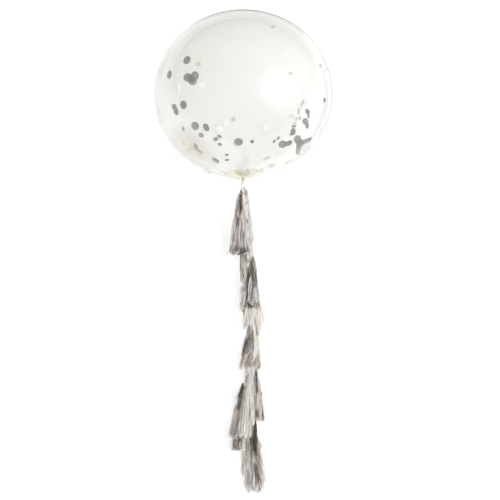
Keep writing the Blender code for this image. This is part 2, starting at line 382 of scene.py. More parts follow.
def end_tree(tree: NodeTree, geometry: NodeSocket, material: NodeSocket) -> None:
    """Ends a geometry tree with real geometry in its material.

    Args:
        tree: The tree.
        geometry: The socket that gives the shape.
        material: The socket that gives the material.
    """
    real = add_node(tree, "GeometryNodeRealizeInstances", links={"Geometry": geometry})
    links = {"Geometry": real.outputs["Geometry"], "Material": material}
    dressed = add_node(tree, "GeometryNodeSetMaterial", links=links)
    add_node(tree, "NodeGroupOutput", links={"Geometry": dressed.outputs["Geometry"]})


def run_tree(name: str, tree: NodeTree, guide: Mesh, values: dict) -> Object:
    """Runs a geometry tree on a guide and keeps the result as a plain mesh.

    Args:
        name: The new object's name.
        tree: The geometry tree.
        guide: The mesh that it works on.
        values: The tree's inputs by name.

    Returns:
        The new object.
    """
    carrier = add_object(name + "_guide", guide)
    modifier = carrier.modifiers.new(name, "NODES")
    modifier.node_group = tree
    for item in tree.interface.items_tree:
        if item.in_out == "INPUT" and item.name in values:
            modifier[item.identifier] = values[item.name]
    depsgraph = bpy.context.evaluated_depsgraph_get()
    mesh = bpy.data.meshes.new_from_object(carrier.evaluated_get(depsgraph))
    mesh.name = name
    bpy.data.objects.remove(carrier)
    return add_object(name, mesh)


def strip_tree() -> NodeTree:
    """Builds the tree that lays a creased paper strip along each line of a guide.

    Returns:
        The geometry tree.
    """
    inputs = {"Thickness": "NodeSocketFloat", "Crease": "NodeSocketFloat", "Material": "NodeSocketMaterial"}
    tree, given = new_tree("paper_strips", inputs)
    lines = add_node(tree, "GeometryNodeMeshToCurve", links={"Mesh": given.outputs["Geometry"]})
    facing = add_node(tree, NAMED, {"data_type": "FLOAT_VECTOR"}, {"Name": "facing"}).outputs["Attribute"]
    wide = add_node(tree, NAMED, {"data_type": "FLOAT"}, {"Name": "wide"}).outputs["Attribute"]
    links = {"Curve": lines.outputs["Curve"], "Normal": facing}
    turned = add_node(tree, "GeometryNodeSetCurveNormal", {"mode": "FREE"}, links)
    links = {0: given.outputs["Crease"], 1: given.outputs["Thickness"]}
    top = add_node(tree, "ShaderNodeMath", {"operation": "ADD"}, links)
    above = add_node(tree, "ShaderNodeCombineXYZ", links={"X": top.outputs[0]})
    below = add_node(tree, "ShaderNodeCombineXYZ", links={"X": given.outputs["Crease"]})
    links = {
        "Point 1": (0.0, -0.5, 0.0),
        "Point 2": above.outputs[0],
        "Point 3": (0.0, 0.5, 0.0),
        "Point 4": below.outputs[0],
    }
    section = add_node(tree, "GeometryNodeCurvePrimitiveQuadrilateral", {"mode": "POINTS"}, links)
    links = {
        "Curve": turned.outputs["Curve"],
        "Profile Curve": section.outputs["Curve"],
        "Scale": wide,
        "Fill Caps": True,
    }
    swept = add_node(tree, "GeometryNodeCurveToMesh", links=links)
    end_tree(tree, swept.outputs["Mesh"], given.outputs["Material"])
    return tree


def rope_tree() -> NodeTree:
    """Builds the tree that twists round plies along each line of a guide.

    Returns:
        The geometry tree.
    """
    inputs = {
        "Plies": "NodeSocketInt",
        "Ply Radius": "NodeSocketFloat",
        "Lay Radius": "NodeSocketFloat",
        "Turn": "NodeSocketFloat",
        "Sides": "NodeSocketInt",
        "Material": "NodeSocketMaterial",
    }
    tree, given = new_tree("laid_rope", inputs)
    lines = add_node(tree, "GeometryNodeMeshToCurve", links={"Mesh": given.outputs["Geometry"]})
    place = add_node(tree, "GeometryNodeSplineParameter")
    links = {0: place.outputs["Length"], 1: given.outputs["Turn"]}
    angle = add_node(tree, "ShaderNodeMath", {"operation": "MULTIPLY"}, links)
    links = {"Curve": lines.outputs["Curve"], "Tilt": angle.outputs[0]}
    twisted = add_node(tree, "GeometryNodeSetCurveTilt", links=links)
    ring = {"Vertices": given.outputs["Plies"], "Radius": given.outputs["Lay Radius"]}
    spots = add_node(tree, "GeometryNodeMeshCircle", links=ring)
    links = {"Resolution": given.outputs["Sides"], "Radius": given.outputs["Ply Radius"]}
    ply = add_node(tree, "GeometryNodeCurvePrimitiveCircle", {"mode": "RADIUS"}, links)
    links = {"Points": spots.outputs["Mesh"], "Instance": ply.outputs["Curve"]}
    plies = add_node(tree, "GeometryNodeInstanceOnPoints", links=links)
    section = add_node(tree, "GeometryNodeRealizeInstances", links={"Geometry": plies.outputs["Instances"]})
    links = {
        "Curve": twisted.outputs["Curve"],
        "Profile Curve": section.outputs["Geometry"],
        "Fill Caps": True,
    }
    swept = add_node(tree, "GeometryNodeCurveToMesh", links=links)
    end_tree(tree, swept.outputs["Mesh"], given.outputs["Material"])
    return tree


def disc_tree() -> NodeTree:
    """Builds the tree that puts a thin paper disc on each point of a guide.

    Returns:
        The geometry tree.
    """
    inputs = {"Sides": "NodeSocketInt", "Thickness": "NodeSocketFloat", "Material": "NodeSocketMaterial"}
    tree, given = new_tree("paper_discs", inputs)
    facing = add_node(tree, NAMED, {"data_type": "FLOAT_VECTOR"}, {"Name": "facing"}).outputs["Attribute"]
    wide = add_node(tree, NAMED, {"data_type": "FLOAT"}, {"Name": "wide"}).outputs["Attribute"]
    turned = add_node(tree, "FunctionNodeAlignRotationToVector", {"axis": "Z"}, {"Vector": facing})
    size = {"Vertices": given.outputs["Sides"], "Radius": 0.5, "Depth": given.outputs["Thickness"]}
    disc = add_node(tree, "GeometryNodeMeshCylinder", links=size)
    scale = add_node(tree, "ShaderNodeCombineXYZ", links={0: wide, 1: wide, 2: 1.0})
    links = {
        "Points": given.outputs["Geometry"],
        "Instance": disc.outputs["Mesh"],
        "Rotation": turned.outputs["Rotation"],
        "Scale": scale.outputs[0],
    }
    discs = add_node(tree, "GeometryNodeInstanceOnPoints", links=links)
    end_tree(tree, discs.outputs["Instances"], given.outputs["Material"])
    return tree


# Finishes


@dataclass(frozen=True)
class LatexFilm:
    """Clear natural latex, dipped and blown up to a thin film.

    It is see-through with a faint milky veil, glossy, and mirrors the room more the more it is
    seen aslant. Its colour is painted greyer towards the upper left and far side and clearer
    towards the lower right and near side: painted shade. Seen aslant, its colour fades to white,
    except on the upper far side, where it is painted dark grey: a painted dark reflection. Towards
    the lower left it is darker and browner. Where it gathers into the neck it is yellow as raw
    rubber is.
    """

    # clear and thick are the film's painted lit and shaded tones: painted shade, not thickness.
    clear: str = "f8f8f7"
    thick: str = "f0f0ed"
    lower_left_tint: str = "d6cebd"
    amber: str = "fdf4d4"
    # edge is a painted dark reflection, given where the film is seen aslant on its upper far side.
    edge: str = "4e544c"
    veil: str = "ffffff"
    shadow: str = "fdfdfd"
    lit_way: tuple[float, float, float] = (0.40, -0.82, -0.34)
    lit_span: tuple[float, float] = (-0.34, 0.14)
    lower_left_way: tuple[float, float, float] = (-0.60, -0.36, -0.72)
    lower_left_span: tuple[float, float] = (0.40, 0.47)
    rim_way: tuple[float, float, float] = (0.45, 0.80, 0.40)
    rim_span: tuple[float, float] = (-0.15, 0.30)
    amber_span: tuple[float, float] = (0.02, 0.16)
    edge_from: float = 0.80
    ior: float = 1.45
    roughness: float = 0.03
    clearness: float = 0.97

    def towards(self, tree: NodeTree, out: NodeSocket, way: tuple, span: tuple[float, float]) -> NodeSocket:
        """Gives how far the film lies to one side of the balloon, as a soft share.

        Args:
            tree: The shader tree.
            out: The socket of the way from the balloon's middle.
            way: The side's direction.
            span: Where the share starts and ends, in metres from the middle.

        Returns:
            The socket of the share, from 0 to 1.
        """
        links = {0: out, 1: tuple(Vector(way).normalized())}
        reach = add_node(tree, "ShaderNodeVectorMath", {"operation": "DOT_PRODUCT"}, links)
        links = {"Value": reach.outputs["Value"], "From Min": span[0], "From Max": span[1]}
        return add_node(tree, "ShaderNodeMapRange", SOFT, links).outputs["Result"]

    def body(self, tree: NodeTree, place: NodeSocket, out: NodeSocket, neck: Vector) -> NodeSocket:
        """Colours the film where it is looked straight through.

        Args:
            tree: The shader tree.
            place: The socket of the point's place.
            out: The socket of its way from the balloon's middle.
            neck: Where the film gathers into the neck.

        Returns:
            The socket of the colour.
        """
        # The film is painted greyer away from this way and clearer towards it: painted shade.
        thin = self.towards(tree, out, self.lit_way, self.lit_span)
        stops = ((0.0, self.thick), (1.0, self.clear))
        body = add_node(tree, RAMP, {"stops": stops}, {"Fac": thin}).outputs["Color"]
        away = add_node(tree, "ShaderNodeVectorMath", {"operation": "DISTANCE"}, {0: place, 1: tuple(neck)})
        low, high = self.amber_span
        links = {"Value": away.outputs["Value"], "From Min": low, "From Max": high}
        near = add_node(tree, "ShaderNodeMapRange", SOFT, links).outputs["Result"]
        stops = ((0.0, self.amber), (1.0, WHITE))
        raw = add_node(tree, RAMP, {"stops": stops}, {"Fac": near}).outputs["Color"]
        multiply = {"data_type": "RGBA", "blend_type": "MULTIPLY"}
        body = add_node(tree, "ShaderNodeMix", multiply, {0: 1.0, 6: body, 7: raw}).outputs[2]
        # Towards the lower left the film is made darker and browner.
        lower_left = self.towards(tree, out, self.lower_left_way, self.lower_left_span)
        links = {0: lower_left, 6: body, 7: linear(self.lower_left_tint)}
        return add_node(tree, "ShaderNodeMix", multiply, links).outputs[2]

    def material(self, centre: Vector, neck: Vector) -> Material:
        """Makes the material.

        Args:
            centre: The balloon's middle.
            neck: Where the film gathers into the neck.

        Returns:
            The material.
        """
        material, tree, shader = new_material("clear_latex")
        place = add_node(tree, "ShaderNodeTexCoord").outputs["Object"]
        links = {0: place, 1: tuple(centre)}
        out = add_node(tree, "ShaderNodeVectorMath", {"operation": "SUBTRACT"}, links).outputs["Vector"]
        # Seen aslant, the colour fades to white, and on the upper far side to the edge colour: a painted
        # dark reflection.
        slant = add_node(tree, "ShaderNodeLayerWeight", links={"Blend": 0.5})
        links = {"Value": slant.outputs["Facing"], "From Min": self.edge_from, "From Max": 1.0}
        aslant = add_node(tree, "ShaderNodeMapRange", SOFT, links).outputs["Result"]
        rim = self.towards(tree, out, self.rim_way, self.rim_span)
        stops = ((0.0, self.veil), (1.0, self.edge))
        edge = add_node(tree, RAMP, {"stops": stops}, {"Fac": rim}).outputs["Color"]
        links = {0: aslant, 6: self.body(tree, place, out, neck), 7: edge}
        tint = add_node(tree, "ShaderNodeMix", {"data_type": "RGBA"}, links)
        looks = {
            "Base Color": tint.outputs[2],
            "IOR": self.ior,
            "Roughness": self.roughness,
            "Transmission Weight": self.clearness,
        }
        feed(tree, shader, looks)
        ray = add_node(tree, "ShaderNodeLightPath")
        open_film = add_node(tree, "ShaderNodeBsdfTransparent", links={"Color": linear(self.shadow)})
        links = {0: ray.outputs["Is Shadow Ray"], 1: shader.outputs[0], 2: open_film.outputs[0]}
        mixed = add_node(tree, "ShaderNodeMixShader", links=links)
        feed(tree, tree.nodes["Material Output"], {"Surface": mixed.outputs[0]})
        return material


@dataclass(frozen=True)
class KnottedLatex:
    """Latex bunched in the neck, the knot and the rolled lip, where it is cloudy and satin."""

    tones: tuple[tuple[float, str], ...] = ((0.3, "fbf6e6"), (0.7, "fefbf0"))
    cloud_mm: float = 3.0
    relief_mm: float = 0.4
    roughness: float = 0.28
    cloudiness: float = 0.25
    scatter: tuple[float, float, float] = (0.004, 0.003, 0.002)

    def material(self) -> Material:
        """Makes the material.

        Returns:
            The material.
        """
        material, tree, shader = new_material("knotted_latex")
        cloud = add_grain(tree, shader, self.cloud_mm * MM, 4.0, self.relief_mm * MM, 0.3)
        looks = {
            "Base Color": add_node(tree, RAMP, {"stops": self.tones}, {"Fac": cloud}).outputs["Color"],
            "Roughness": self.roughness,
            "Subsurface Weight": self.cloudiness,
            "Subsurface Radius": self.scatter,
        }
        feed(tree, shader, looks)
        return material


@dataclass(frozen=True)
class StripPaper:
    """Crepe tissue cut to strips. Each strip has its own tone, and fine creases run along it.

    The grey sort has a slight metallic sheen, and its colour runs from near black to pale silver:
    the strips' own tones, with painted shade and light added near the twist and in patches of the
    skirt. The cream sort is matt and lets some light through.
    """

    name: str
    tones: tuple[tuple[float, str], ...]
    metallic: float
    roughness: tuple[float, float]
    sheen: float
    translucence: float = 0.6
    scatter_mm: float = 3.0
    crease_mm: float = 1.6
    relief_mm: float = 0.5
    along: float = 0.12
    swing: float = 0.12

    def material(self) -> Material:
        """Makes the material.

        Returns:
            The material.
        """
        material, tree, shader = new_material(self.name)
        run = (1.0, self.along, 1.0)
        crease = add_grain(tree, shader, self.crease_mm * MM, 3.0, self.relief_mm * MM, 0.5, run)
        tone = add_node(tree, "ShaderNodeAttribute", {"attribute_name": "tone"}).outputs["Fac"]
        links = {"Fac": swung(tree, tone, crease, self.swing)}
        colour = add_node(tree, RAMP, {"stops": self.tones}, links)
        links = {"Value": crease, "To Min": self.roughness[0], "To Max": self.roughness[1]}
        rough = add_node(tree, "ShaderNodeMapRange", links=links)
        looks = {
            "Base Color": colour.outputs["Color"],
            "Roughness": rough.outputs["Result"],
            "Metallic": self.metallic,
            "Sheen Weight": self.sheen,
            "Subsurface Weight": self.translucence,
            "Subsurface Radius": (1.0, 1.0, 1.0),
            "Subsurface Scale": self.scatter_mm * MM,
        }
        feed(tree, shader, looks)
        return material


GREY_PAPER = StripPaper(
    name="metallised_grey_tissue",
    tones=((0.0, "3b332e"), (0.3, "7c726b"), (0.6, "b4aaa2"), (1.0, "e9e1dc")),
    metallic=0.15,
    roughness=(0.40, 0.65),
    sheen=0.0,
)
CREAM_PAPER = StripPaper(
    name="cream_tissue",
    tones=((0.0, "958b84"), (0.35, "d4ccc3"), (0.7, "f2ede5"), (1.0, "fdf9f3")),
    metallic=0.0,
    roughness=(0.65, 0.85),
    sheen=0.2,
)


@dataclass(frozen=True)
class CottonTwine:
    """Bleached cotton, spun and laid in three plies: matt, with fine fibres across each ply.

    Real fibres are far finer. They are drawn at half a millimetre, so that they still show.
    """

    tones: tuple[tuple[float, str], ...] = ((0.3, "cdc6b5"), (0.6, "f1ede2"))
    fibre_mm: float = 0.5
    relief_mm: float = 0.1
    roughness: float = 0.9
    fuzz: float = 0.3

    def material(self) -> Material:
        """Makes the material.

        Returns:
            The material.
        """
        material, tree, shader = new_material("cotton_twine")
        fibre = add_grain(tree, shader, self.fibre_mm * MM, 2.0, self.relief_mm * MM, 0.4)
        colour = add_node(tree, RAMP, {"stops": self.tones}, {"Fac": fibre}).outputs["Color"]
        looks = {"Base Color": colour, "Roughness": self.roughness, "Sheen Weight": self.fuzz}
        feed(tree, shader, looks)
        return material


@dataclass(frozen=True)
class ConfettiPaper:
    """Die-cut tissue discs in warm grey, pale grey, cream and white, matt with a faint mottle."""

    tones: tuple[tuple[float, str], ...] = (
        (0.0, "332e2b"),
        (0.12, "5b544f"),
        (0.25, "968d87"),
        (0.5, "d9d4ce"),
        (0.75, "f8f0c4"),
        (1.0, "ffffff"),
    )
    # The discs glow a little, brightest the cream and white ones: painted light.
    glows: tuple[tuple[float, str], ...] = (
        (0.0, "4a4643"),
        (0.6, "6f6b63"),
        (0.75, "a9a184"),
        (1.0, "ffffff"),
    )
    mottle_mm: float = 5.0
    swing: float = 0.04
    glow: float = 0.28
    roughness: float = 0.8
    translucence: float = 0.9
    scatter_mm: float = 4.0

    def material(self) -> Material:
        """Makes the material.

        Returns:
            The material.
        """
        material, tree, shader = new_material("confetti_tissue")
        mottle = add_grain(tree, shader, self.mottle_mm * MM, 3.0)
        tone = add_node(tree, "ShaderNodeAttribute", {"attribute_name": "tone"}).outputs["Fac"]
        links = {"Fac": swung(tree, tone, mottle, self.swing)}
        looks = {
            "Base Color": add_node(tree, RAMP, {"stops": self.tones}, links).outputs["Color"],
            # Painted light: the discs glow by their tone.
            "Emission Color": add_node(tree, RAMP, {"stops": self.glows}, {"Fac": tone}).outputs["Color"],
            "Emission Strength": self.glow,
            "Roughness": self.roughness,
            "Subsurface Weight": self.translucence,
            "Subsurface Radius": (1.0, 1.0, 1.0),
            "Subsurface Scale": self.scatter_mm * MM,
        }
        feed(tree, shader, looks)
        return material


# The balloon


@dataclass
class Balloon:
    """The film, blown round and a little flat along its neck, into which it gathers in pleats."""

    width: float = 0.914
    length: float = 0.854
    flat_spot_depth: float = 0.005
    neck_drop: float = radians(31)
    film: float = 0.5 * MM
    flare_radius: float = 0.077
    flare_reach: float = 0.054
    neck_radius: float = 0.0062
    neck_place: float = 0.006
    neck_lead: float = 0.0084
    pleats: int = 11
    pleat_depth: float = 0.07
    pleat_reach: float = 0.075
    pleat_ease: float = 0.6
    floor_gap: float = 0.1 * MM
    sides: int = 132
    rings: int = 84
    flare_rings: int = 26
    axis: Vector = field(init=False)
    centre: Vector = field(init=False)

    def __post_init__(self) -> None:
        """Works out where the balloon's middle is as it rests."""
        self.axis = Vector((0.0, -cos(self.neck_drop), -sin(self.neck_drop)))
        across, half = self.width / 2, self.length / 2
        flatter = half**2 - across**2
        height = sqrt(across**2 + flatter * self.axis.z**2)
        middle_y = flatter * self.axis.y * self.axis.z / height
        self.centre = Vector((0.0, middle_y, height - self.flat_spot_depth))

    def past_end(self, place: float) -> Vector:
        """Gives the point on the neck's axis at a place past the balloon's round end."""
        return self.centre + self.axis * (self.length / 2 + place)

    def neck(self) -> Vector:
        """Gives the point where the film meets the twine round the neck."""
        return self.past_end(self.neck_place)

    def out(self, angle: float) -> Vector:
        """Gives the way straight out from the neck's axis, at an angle round it."""
        return ACROSS * cos(angle) + self.axis.cross(ACROSS) * sin(angle)

    def profile(self, inset: float) -> list[tuple[float, float]]:
        """Gives the film's outline.

        Args:
            inset: How far inside the outer face it is.

        Returns:
            (place along the neck's axis from the middle, radius) from the crown to the neck.
        """
        across, half = self.width / 2, self.length / 2
        sweep = pi - asin(self.flare_radius / across)
        angles = [sweep * i / self.rings - pi / 2 for i in range(self.rings + 1)]
        outline = [((half - inset) * sin(a), (across - inset) * cos(a)) for a in angles]
        start = Vector(outline[-1])
        lead = (start - Vector(outline[-2])).normalized()
        end = Vector((half + self.neck_place, self.neck_radius - inset))
        controls = (start, start + lead * self.flare_reach, end - Vector((self.neck_lead, 0.0)), end)
        for i in range(1, self.flare_rings + 1):
            t = i / self.flare_rings
            weights = ((1 - t) ** 3, 3 * t * (1 - t) ** 2, 3 * t**2 * (1 - t), t**3)
            outline.append(tuple(sum((w * p for w, p in zip(weights, controls)), Vector((0.0, 0.0)))))
        return outline

    def ring(self, place: float, radius: float, lowest: float) -> list[Vector]:
        """Gives one ring of the film round its axis, pleated where it gathers into the neck.

        Args:
            place: Where the ring is on the axis, from the balloon's middle.
            radius: Its radius.
            lowest: The height on which it lies flat.

        Returns:
            The ring's points.
        """
        gather = smooth_step(1 - (self.length / 2 + self.neck_place - place) / self.pleat_reach)
        depth = self.pleat_depth * gather * (1 - gather * self.pleat_ease)
        points = []
        for angle in around(self.sides):
            pleat = 1 + depth * cos(self.pleats * angle + 2 * sin(3 * angle))
            point = self.centre + self.axis * place + self.out(angle) * radius * pleat
            point.z = max(point.z, lowest)
            points.append(point)
        return points

    def wall(self, bm: BMesh, inset: float, inward: bool) -> None:
        """Adds one face of the film, closed at the crown and in the neck.

        Args:
            bm: The bmesh that gets it.
            inset: How far inside the outer face it is.
            inward: Whether it looks into the balloon.
        """
        outline = self.profile(inset)
        rings = []
        for place, radius in outline[1:]:
            points = self.ring(place, radius, inset + self.floor_gap)
            rings.append([bm.verts.new(point) for point in points])
        tips = tuple(self.centre + self.axis * outline[i][0] for i in (0, -1))
        faces = cover(bm, rings, tips)
        if not inward:
            bmesh.ops.reverse_faces(bm, faces=faces)

    def make_film(self) -> Object:
        """Builds the film with its outer and inner face.

        Returns:
            The piece.
        """
        bm = bmesh.new()
        self.wall(bm, 0.0, False)
        self.wall(bm, self.film, True)
        made = add_object("balloon_film", mesh_of("balloon_film", bm, sharp=radians(60)))
        made.data.materials.append(LatexFilm().material(self.centre, self.neck()))
        log.info("%s: %.0f mm wide", made.name, self.width / MM)
        return made

    def far_wall(self, eye: Vector, towards: Vector) -> tuple[Vector, Vector]:
        """Finds where a line of sight meets the film's far side from within.

        Args:
            eye: Where the line starts.
            towards: A point on it.

        Returns:
            The point on the inner face, and the way into the balloon there.
        """
        across, half = self.width / 2 - self.film, self.length / 2 - self.film
        stretch = Matrix.Identity(3)
        for i in range(3):
            for j in range(3):
                stretch[i][j] += self.axis[i] * self.axis[j] * (across / half - 1)
        start = stretch @ (eye - self.centre)
        way = (stretch @ (towards - eye)).normalized()
        nearest = -start.dot(way)
        reach = across**2 - start.length_squared + nearest**2
        round_point = start + way * (nearest + sqrt(max(reach, 0.0)))
        point = self.centre + stretch.inverted() @ round_point
        inward = -(stretch.transposed() @ round_point).normalized()
        return point, inward


@dataclass
class NeckKnot:
    """The balloon's gathered neck past the twine, its overhand knot and the rolled lip."""

    balloon: Balloon
    radius: float = 0.0060
    start: float = 0.004
    waist_depth: float = 0.0012
    waist_reach: float = 0.006
    knot_place: float = 0.0175
    knot_radius: float = 0.0098
    knot_spread: float = 0.0052
    knot_fill: float = 0.72
    tube_radius: float = 0.0042
    flare_start: float = 0.004
    flare_reach: float = 0.009
    lip_place: float = 0.0300
    lip_radius: float = 0.0098
    lip_tuck: float = 0.006
    roll_radius: float = 0.0026
    folds: int = 9
    fold_depth: float = 0.075
    fold_ease: float = 0.7
    fold_twist: float = 900.0
    ruffle: float = 0.05
    wrap_sway: tuple[float, float] = (3.0 * MM, 0.8 * MM)
    wrap_oval: float = 0.8 * MM
    wrap_bulges: tuple[float, float] = (0.12, 0.06)
    roll_sway: float = 1.2 * MM
    roll_proud: float = 0.4 * MM
    roll_swell: float = 0.10
    sides: int = 64
    rings: int = 40

    def radius_at(self, place: float, angle: float) -> float:
        """Gives the sleeve's radius: gathered under the twine, full at the knot, then flaring.

        Args:
            place: The place past the balloon's round end.
            angle: The angle round the neck.

        Returns:
            The radius there.
        """
        past = place - self.knot_place
        knot = self.knot_fill * exp(-((past / self.knot_spread) ** 2))
        flare = smooth_step((past - self.flare_start) / self.flare_reach)
        waist = self.radius - self.waist_depth * smooth_step((place - self.start) / self.waist_reach)
        plain = waist + (self.knot_radius - waist) * knot + (self.lip_radius - waist) * flare
        depth = self.fold_depth * (1 - self.fold_ease * flare)
        crease = depth * cos(self.folds * angle + self.fold_twist * past)
        return plain * (1 + crease + self.ruffle * flare * sin(4 * angle + 1.0))

    def wrap_at(self, angle: float) -> tuple[float, float, float]:
        """Gives the turn of latex that wraps the knot and tucks under itself.

        Args:
            angle: The angle round the neck.

        Returns:
            Its place, how far out it is, and its radius.
        """
        place = self.knot_place + self.wrap_sway[0] * sin(angle) + self.wrap_sway[1] * sin(3 * angle)
        reach = self.knot_radius - self.tube_radius + self.wrap_oval * cos(2 * angle)
        bulge = self.wrap_bulges[0] * sin(5 * angle) + self.wrap_bulges[1] * sin(11 * angle)
        return place, reach, self.tube_radius * (1 + bulge)

    def roll_at(self, angle: float) -> tuple[float, float, float]:
        """Gives the thick rolled rim at the mouth of the neck.

        Args:
            angle: The angle round the neck.

        Returns:
            Its place, how far out it is, and its radius.
        """
        place = self.lip_place + self.roll_sway * sin(3 * angle + 0.6)
        reach = self.radius_at(self.lip_place, angle) + self.roll_proud
        return place, reach, self.roll_radius * (1 + self.roll_swell * sin(4 * angle))

    def add_sleeve(self, bm: BMesh) -> None:
        """Adds the gathered tube from the balloon's end to the lip, closed at both ends.

        Args:
            bm: The bmesh that gets it.
        """
        rings = []
        for i in range(self.rings + 1):
            place = self.start + (self.lip_place - self.start) * i / self.rings
            middle = self.balloon.past_end(place)
            outs = [self.balloon.out(angle) * self.radius_at(place, angle) for angle in around(self.sides)]
            rings.append([bm.verts.new(middle + out) for out in outs])
        ends = (self.start, self.lip_place - self.lip_tuck)
        cover(bm, rings, tuple(self.balloon.past_end(place) for place in ends))

    def add_hoop(self, bm: BMesh, shape: Callable[[float], tuple], steps: int, sides: int) -> None:
        """Adds a closed round tube that goes once round the neck.

        Args:
            bm: The bmesh that gets it.
            shape: Gives the tube's place, how far out it is and its radius, at an angle.
            steps: How many points its line has.
            sides: How many sides it has.
        """
        line, radii = [], []
        for angle in around(steps):
            place, reach, radius = shape(angle)
            line.append(self.balloon.past_end(place) + self.balloon.out(angle) * reach)
            radii.append(radius)
        rings = []
        for i, point in enumerate(line):
            ahead = (line[(i + 1) % steps] - line[i - 1]).normalized()
            out = rings[-1][0].co - point if rings else ahead.orthogonal()
            out = (out - ahead * out.dot(ahead)).normalized()
            over = ahead.cross(out)
            ways = [out * cos(turn) + over * sin(turn) for turn in around(sides)]
            rings.append([bm.verts.new(point + way * radii[i]) for way in ways])
        shift = min(range(sides), key=lambda j: (rings[0][j].co - rings[-1][0].co).length)
        rings.append(rings[0][shift:] + rings[0][:shift])
        cover(bm, rings)

    def build(self) -> Object:
        """Builds the knotted neck as one piece.

        Returns:
            The piece.
        """
        bm = bmesh.new()
        self.add_sleeve(bm)
        self.add_hoop(bm, self.wrap_at, steps=56, sides=14)
        self.add_hoop(bm, self.roll_at, steps=72, sides=12)
        bmesh.ops.recalc_face_normals(bm, faces=bm.faces[:])
        made = add_object("balloon_knot", mesh_of("balloon_knot", bm, sharp=radians(50)))
        made.data.materials.append(KnottedLatex().material())
        log.info("%s: neck, knot and rolled lip", made.name)
        return made


@dataclass(frozen=True)
class Flake:
    """One disc of confetti, as seen from above.

    x and y are millimetres across and up from the balloon's middle, and wide is its width. tone
    runs from dark grey at 0 to white at 1, with cream at 0.75. squash is how narrow the tilted
    disc looks, as a share of its width, and lean is the angle of its long side. A disc without a
    squash lies flat against the film.
    """

    x: float
    y: float
    wide: float = 44
    tone: float = 0.0
    squash: float = 0.0
    lean: float = 0.0


# The discs on the right, where more light falls, are given lower tones than those on the left, so that all
# look equally dark: painted shade.
GREY_FLAKES = (
    Flake(-289, 178, 47, 0.16, 0.74, 56),
    Flake(-379, 104, 44, 0.12, 0.54, 80),
    Flake(-285, 90, 47, 0.16, 0.92, 40),
    Flake(-247, 99, 46, 0.12, 0.90, 110),
    Flake(-260, 70, 47, 0.16, 0.92, 20),
    Flake(-267, 86, 46, 0.16, 0.95, 0),
    Flake(-307, -51, 46, 0.12, 0.78, 94),
    Flake(-354, -62, 36, 0.12, 0.72, 109),
    Flake(-344, -86, 40, 0.12, 0.68, 104),
    Flake(-247, -159, 47, 0.12, 0.88, 117),
    Flake(-190, -167, 46, 0.12, 0.64, 121),
    Flake(-307, -174, 22, 0.12, 0.55, 98),
    Flake(-216, -206, 31, 0.16, 0.78, 142),
    Flake(-141, -227, 27, 0.12, 0.80, 20),
    Flake(-122, -213, 28, 0.12, 0.52, 145),
    Flake(-121, -253, 25, 0.12, 0.70, 160),
    Flake(-243, -266, 42, 0.16, 0.42, 118),
    Flake(-223, -290, 34, 0.16, 0.28, 140),
    Flake(-141, -335, 46, 0.12, 0.40, 146),
    Flake(-85, -307, 20, 0.12, 0.70, 0),
    Flake(-84, -334, 24, 0.12, 0.50, 0),
    Flake(-50, -125, 27, 0.45, 0.95, 0),
    Flake(-24, -241, 48, 0.08, 0.88, 107),
    Flake(45, -239, 23, 0.05, 0.60, 0),
    Flake(64, -387, 20, 0.08, 0.50, 0),
    Flake(158, -238, 23, 0.03, 0.50, 45),
    Flake(179, -222, 23, 0.03, 0.52, 53),
    Flake(201, -253, 46, 0.03, 0.86, 20),
    Flake(231, -248, 48, 0.03, 0.52, 28),
    Flake(255, -188, 41, 0.03, 0.68, 85),
    Flake(259, -162, 27, 0.03, 0.40, 5),
    Flake(247, -202, 24, 0.03, 0.50, 20),
    Flake(278, -229, 46, 0.03, 0.88, 100),
    Flake(290, -249, 46, 0.03, 0.84, 60),
    Flake(307, -243, 46, 0.03, 0.55, 36),
    Flake(330, -233, 48, 0.03, 0.42, 32),
    Flake(284, -268, 38, 0.03, 0.74, 70),
    Flake(280, -291, 36, 0.03, 0.72, 85),
    Flake(318, -136, 37, 0.03, 0.86, 100),
    Flake(327, -159, 31, 0.03, 0.62, 85),
    Flake(329, -86, 31, 0.03, 0.76, 120),
    Flake(333, -108, 28, 0.03, 0.38, 90),
    Flake(291, -119, 18, 0.03, 0.40, 88),
    Flake(416, -27, 28, 0.05, 0.45, 79),
)
PALE_FLAKES = (
    Flake(274, -122, 20, 0.45, 0.90, 0),
    Flake(302, -44, 48, 0.48, 0.30, 70),
    Flake(284, -85, 40, 0.58, 0.38, 92),
    Flake(262, -147, 28, 0.62, 0.70, 0),
    Flake(312, -275, 30, 0.48, 0.38, 50),
    Flake(121, -324, 44, 0.52, 0.42, 22),
    Flake(144, -362, 40, 0.52, 0.44, 18),
    Flake(234, -342, 50, 0.66, 0.30, 20),
    Flake(-183, -398, 44, 0.55, 0.30, 160),
    Flake(395, 149, 22, 0.5, 0.6, 60),
    Flake(422, 126, 20, 0.5, 0.6, 80),
    Flake(241, 109, 20, 0.5, 0.8, 0),
    Flake(152, 349, 22, 0.5, 0.6, 0),
    Flake(-330, 32, 46, 0.95, 0.35, 88),
    Flake(-232, 158, 34, 0.75, 0.6, 0),
    Flake(-212, 49, 38, 1.0, 0.9, 0),
    Flake(-87, -143, 36, 1.0, 0.9, 0),
    Flake(117, -166, 40, 1.0, 0.9, 0),
    Flake(-121, -173, 38, 1.0, 0.9, 0),
    Flake(246, -110, 38, 0.85, 0.8, 0),
    Flake(-300, -250, 44, 0.6, 0.45, 140),
    Flake(-268, -290, 44, 0.62, 0.40, 150),
)
FLAKES = GREY_FLAKES + PALE_FLAKES


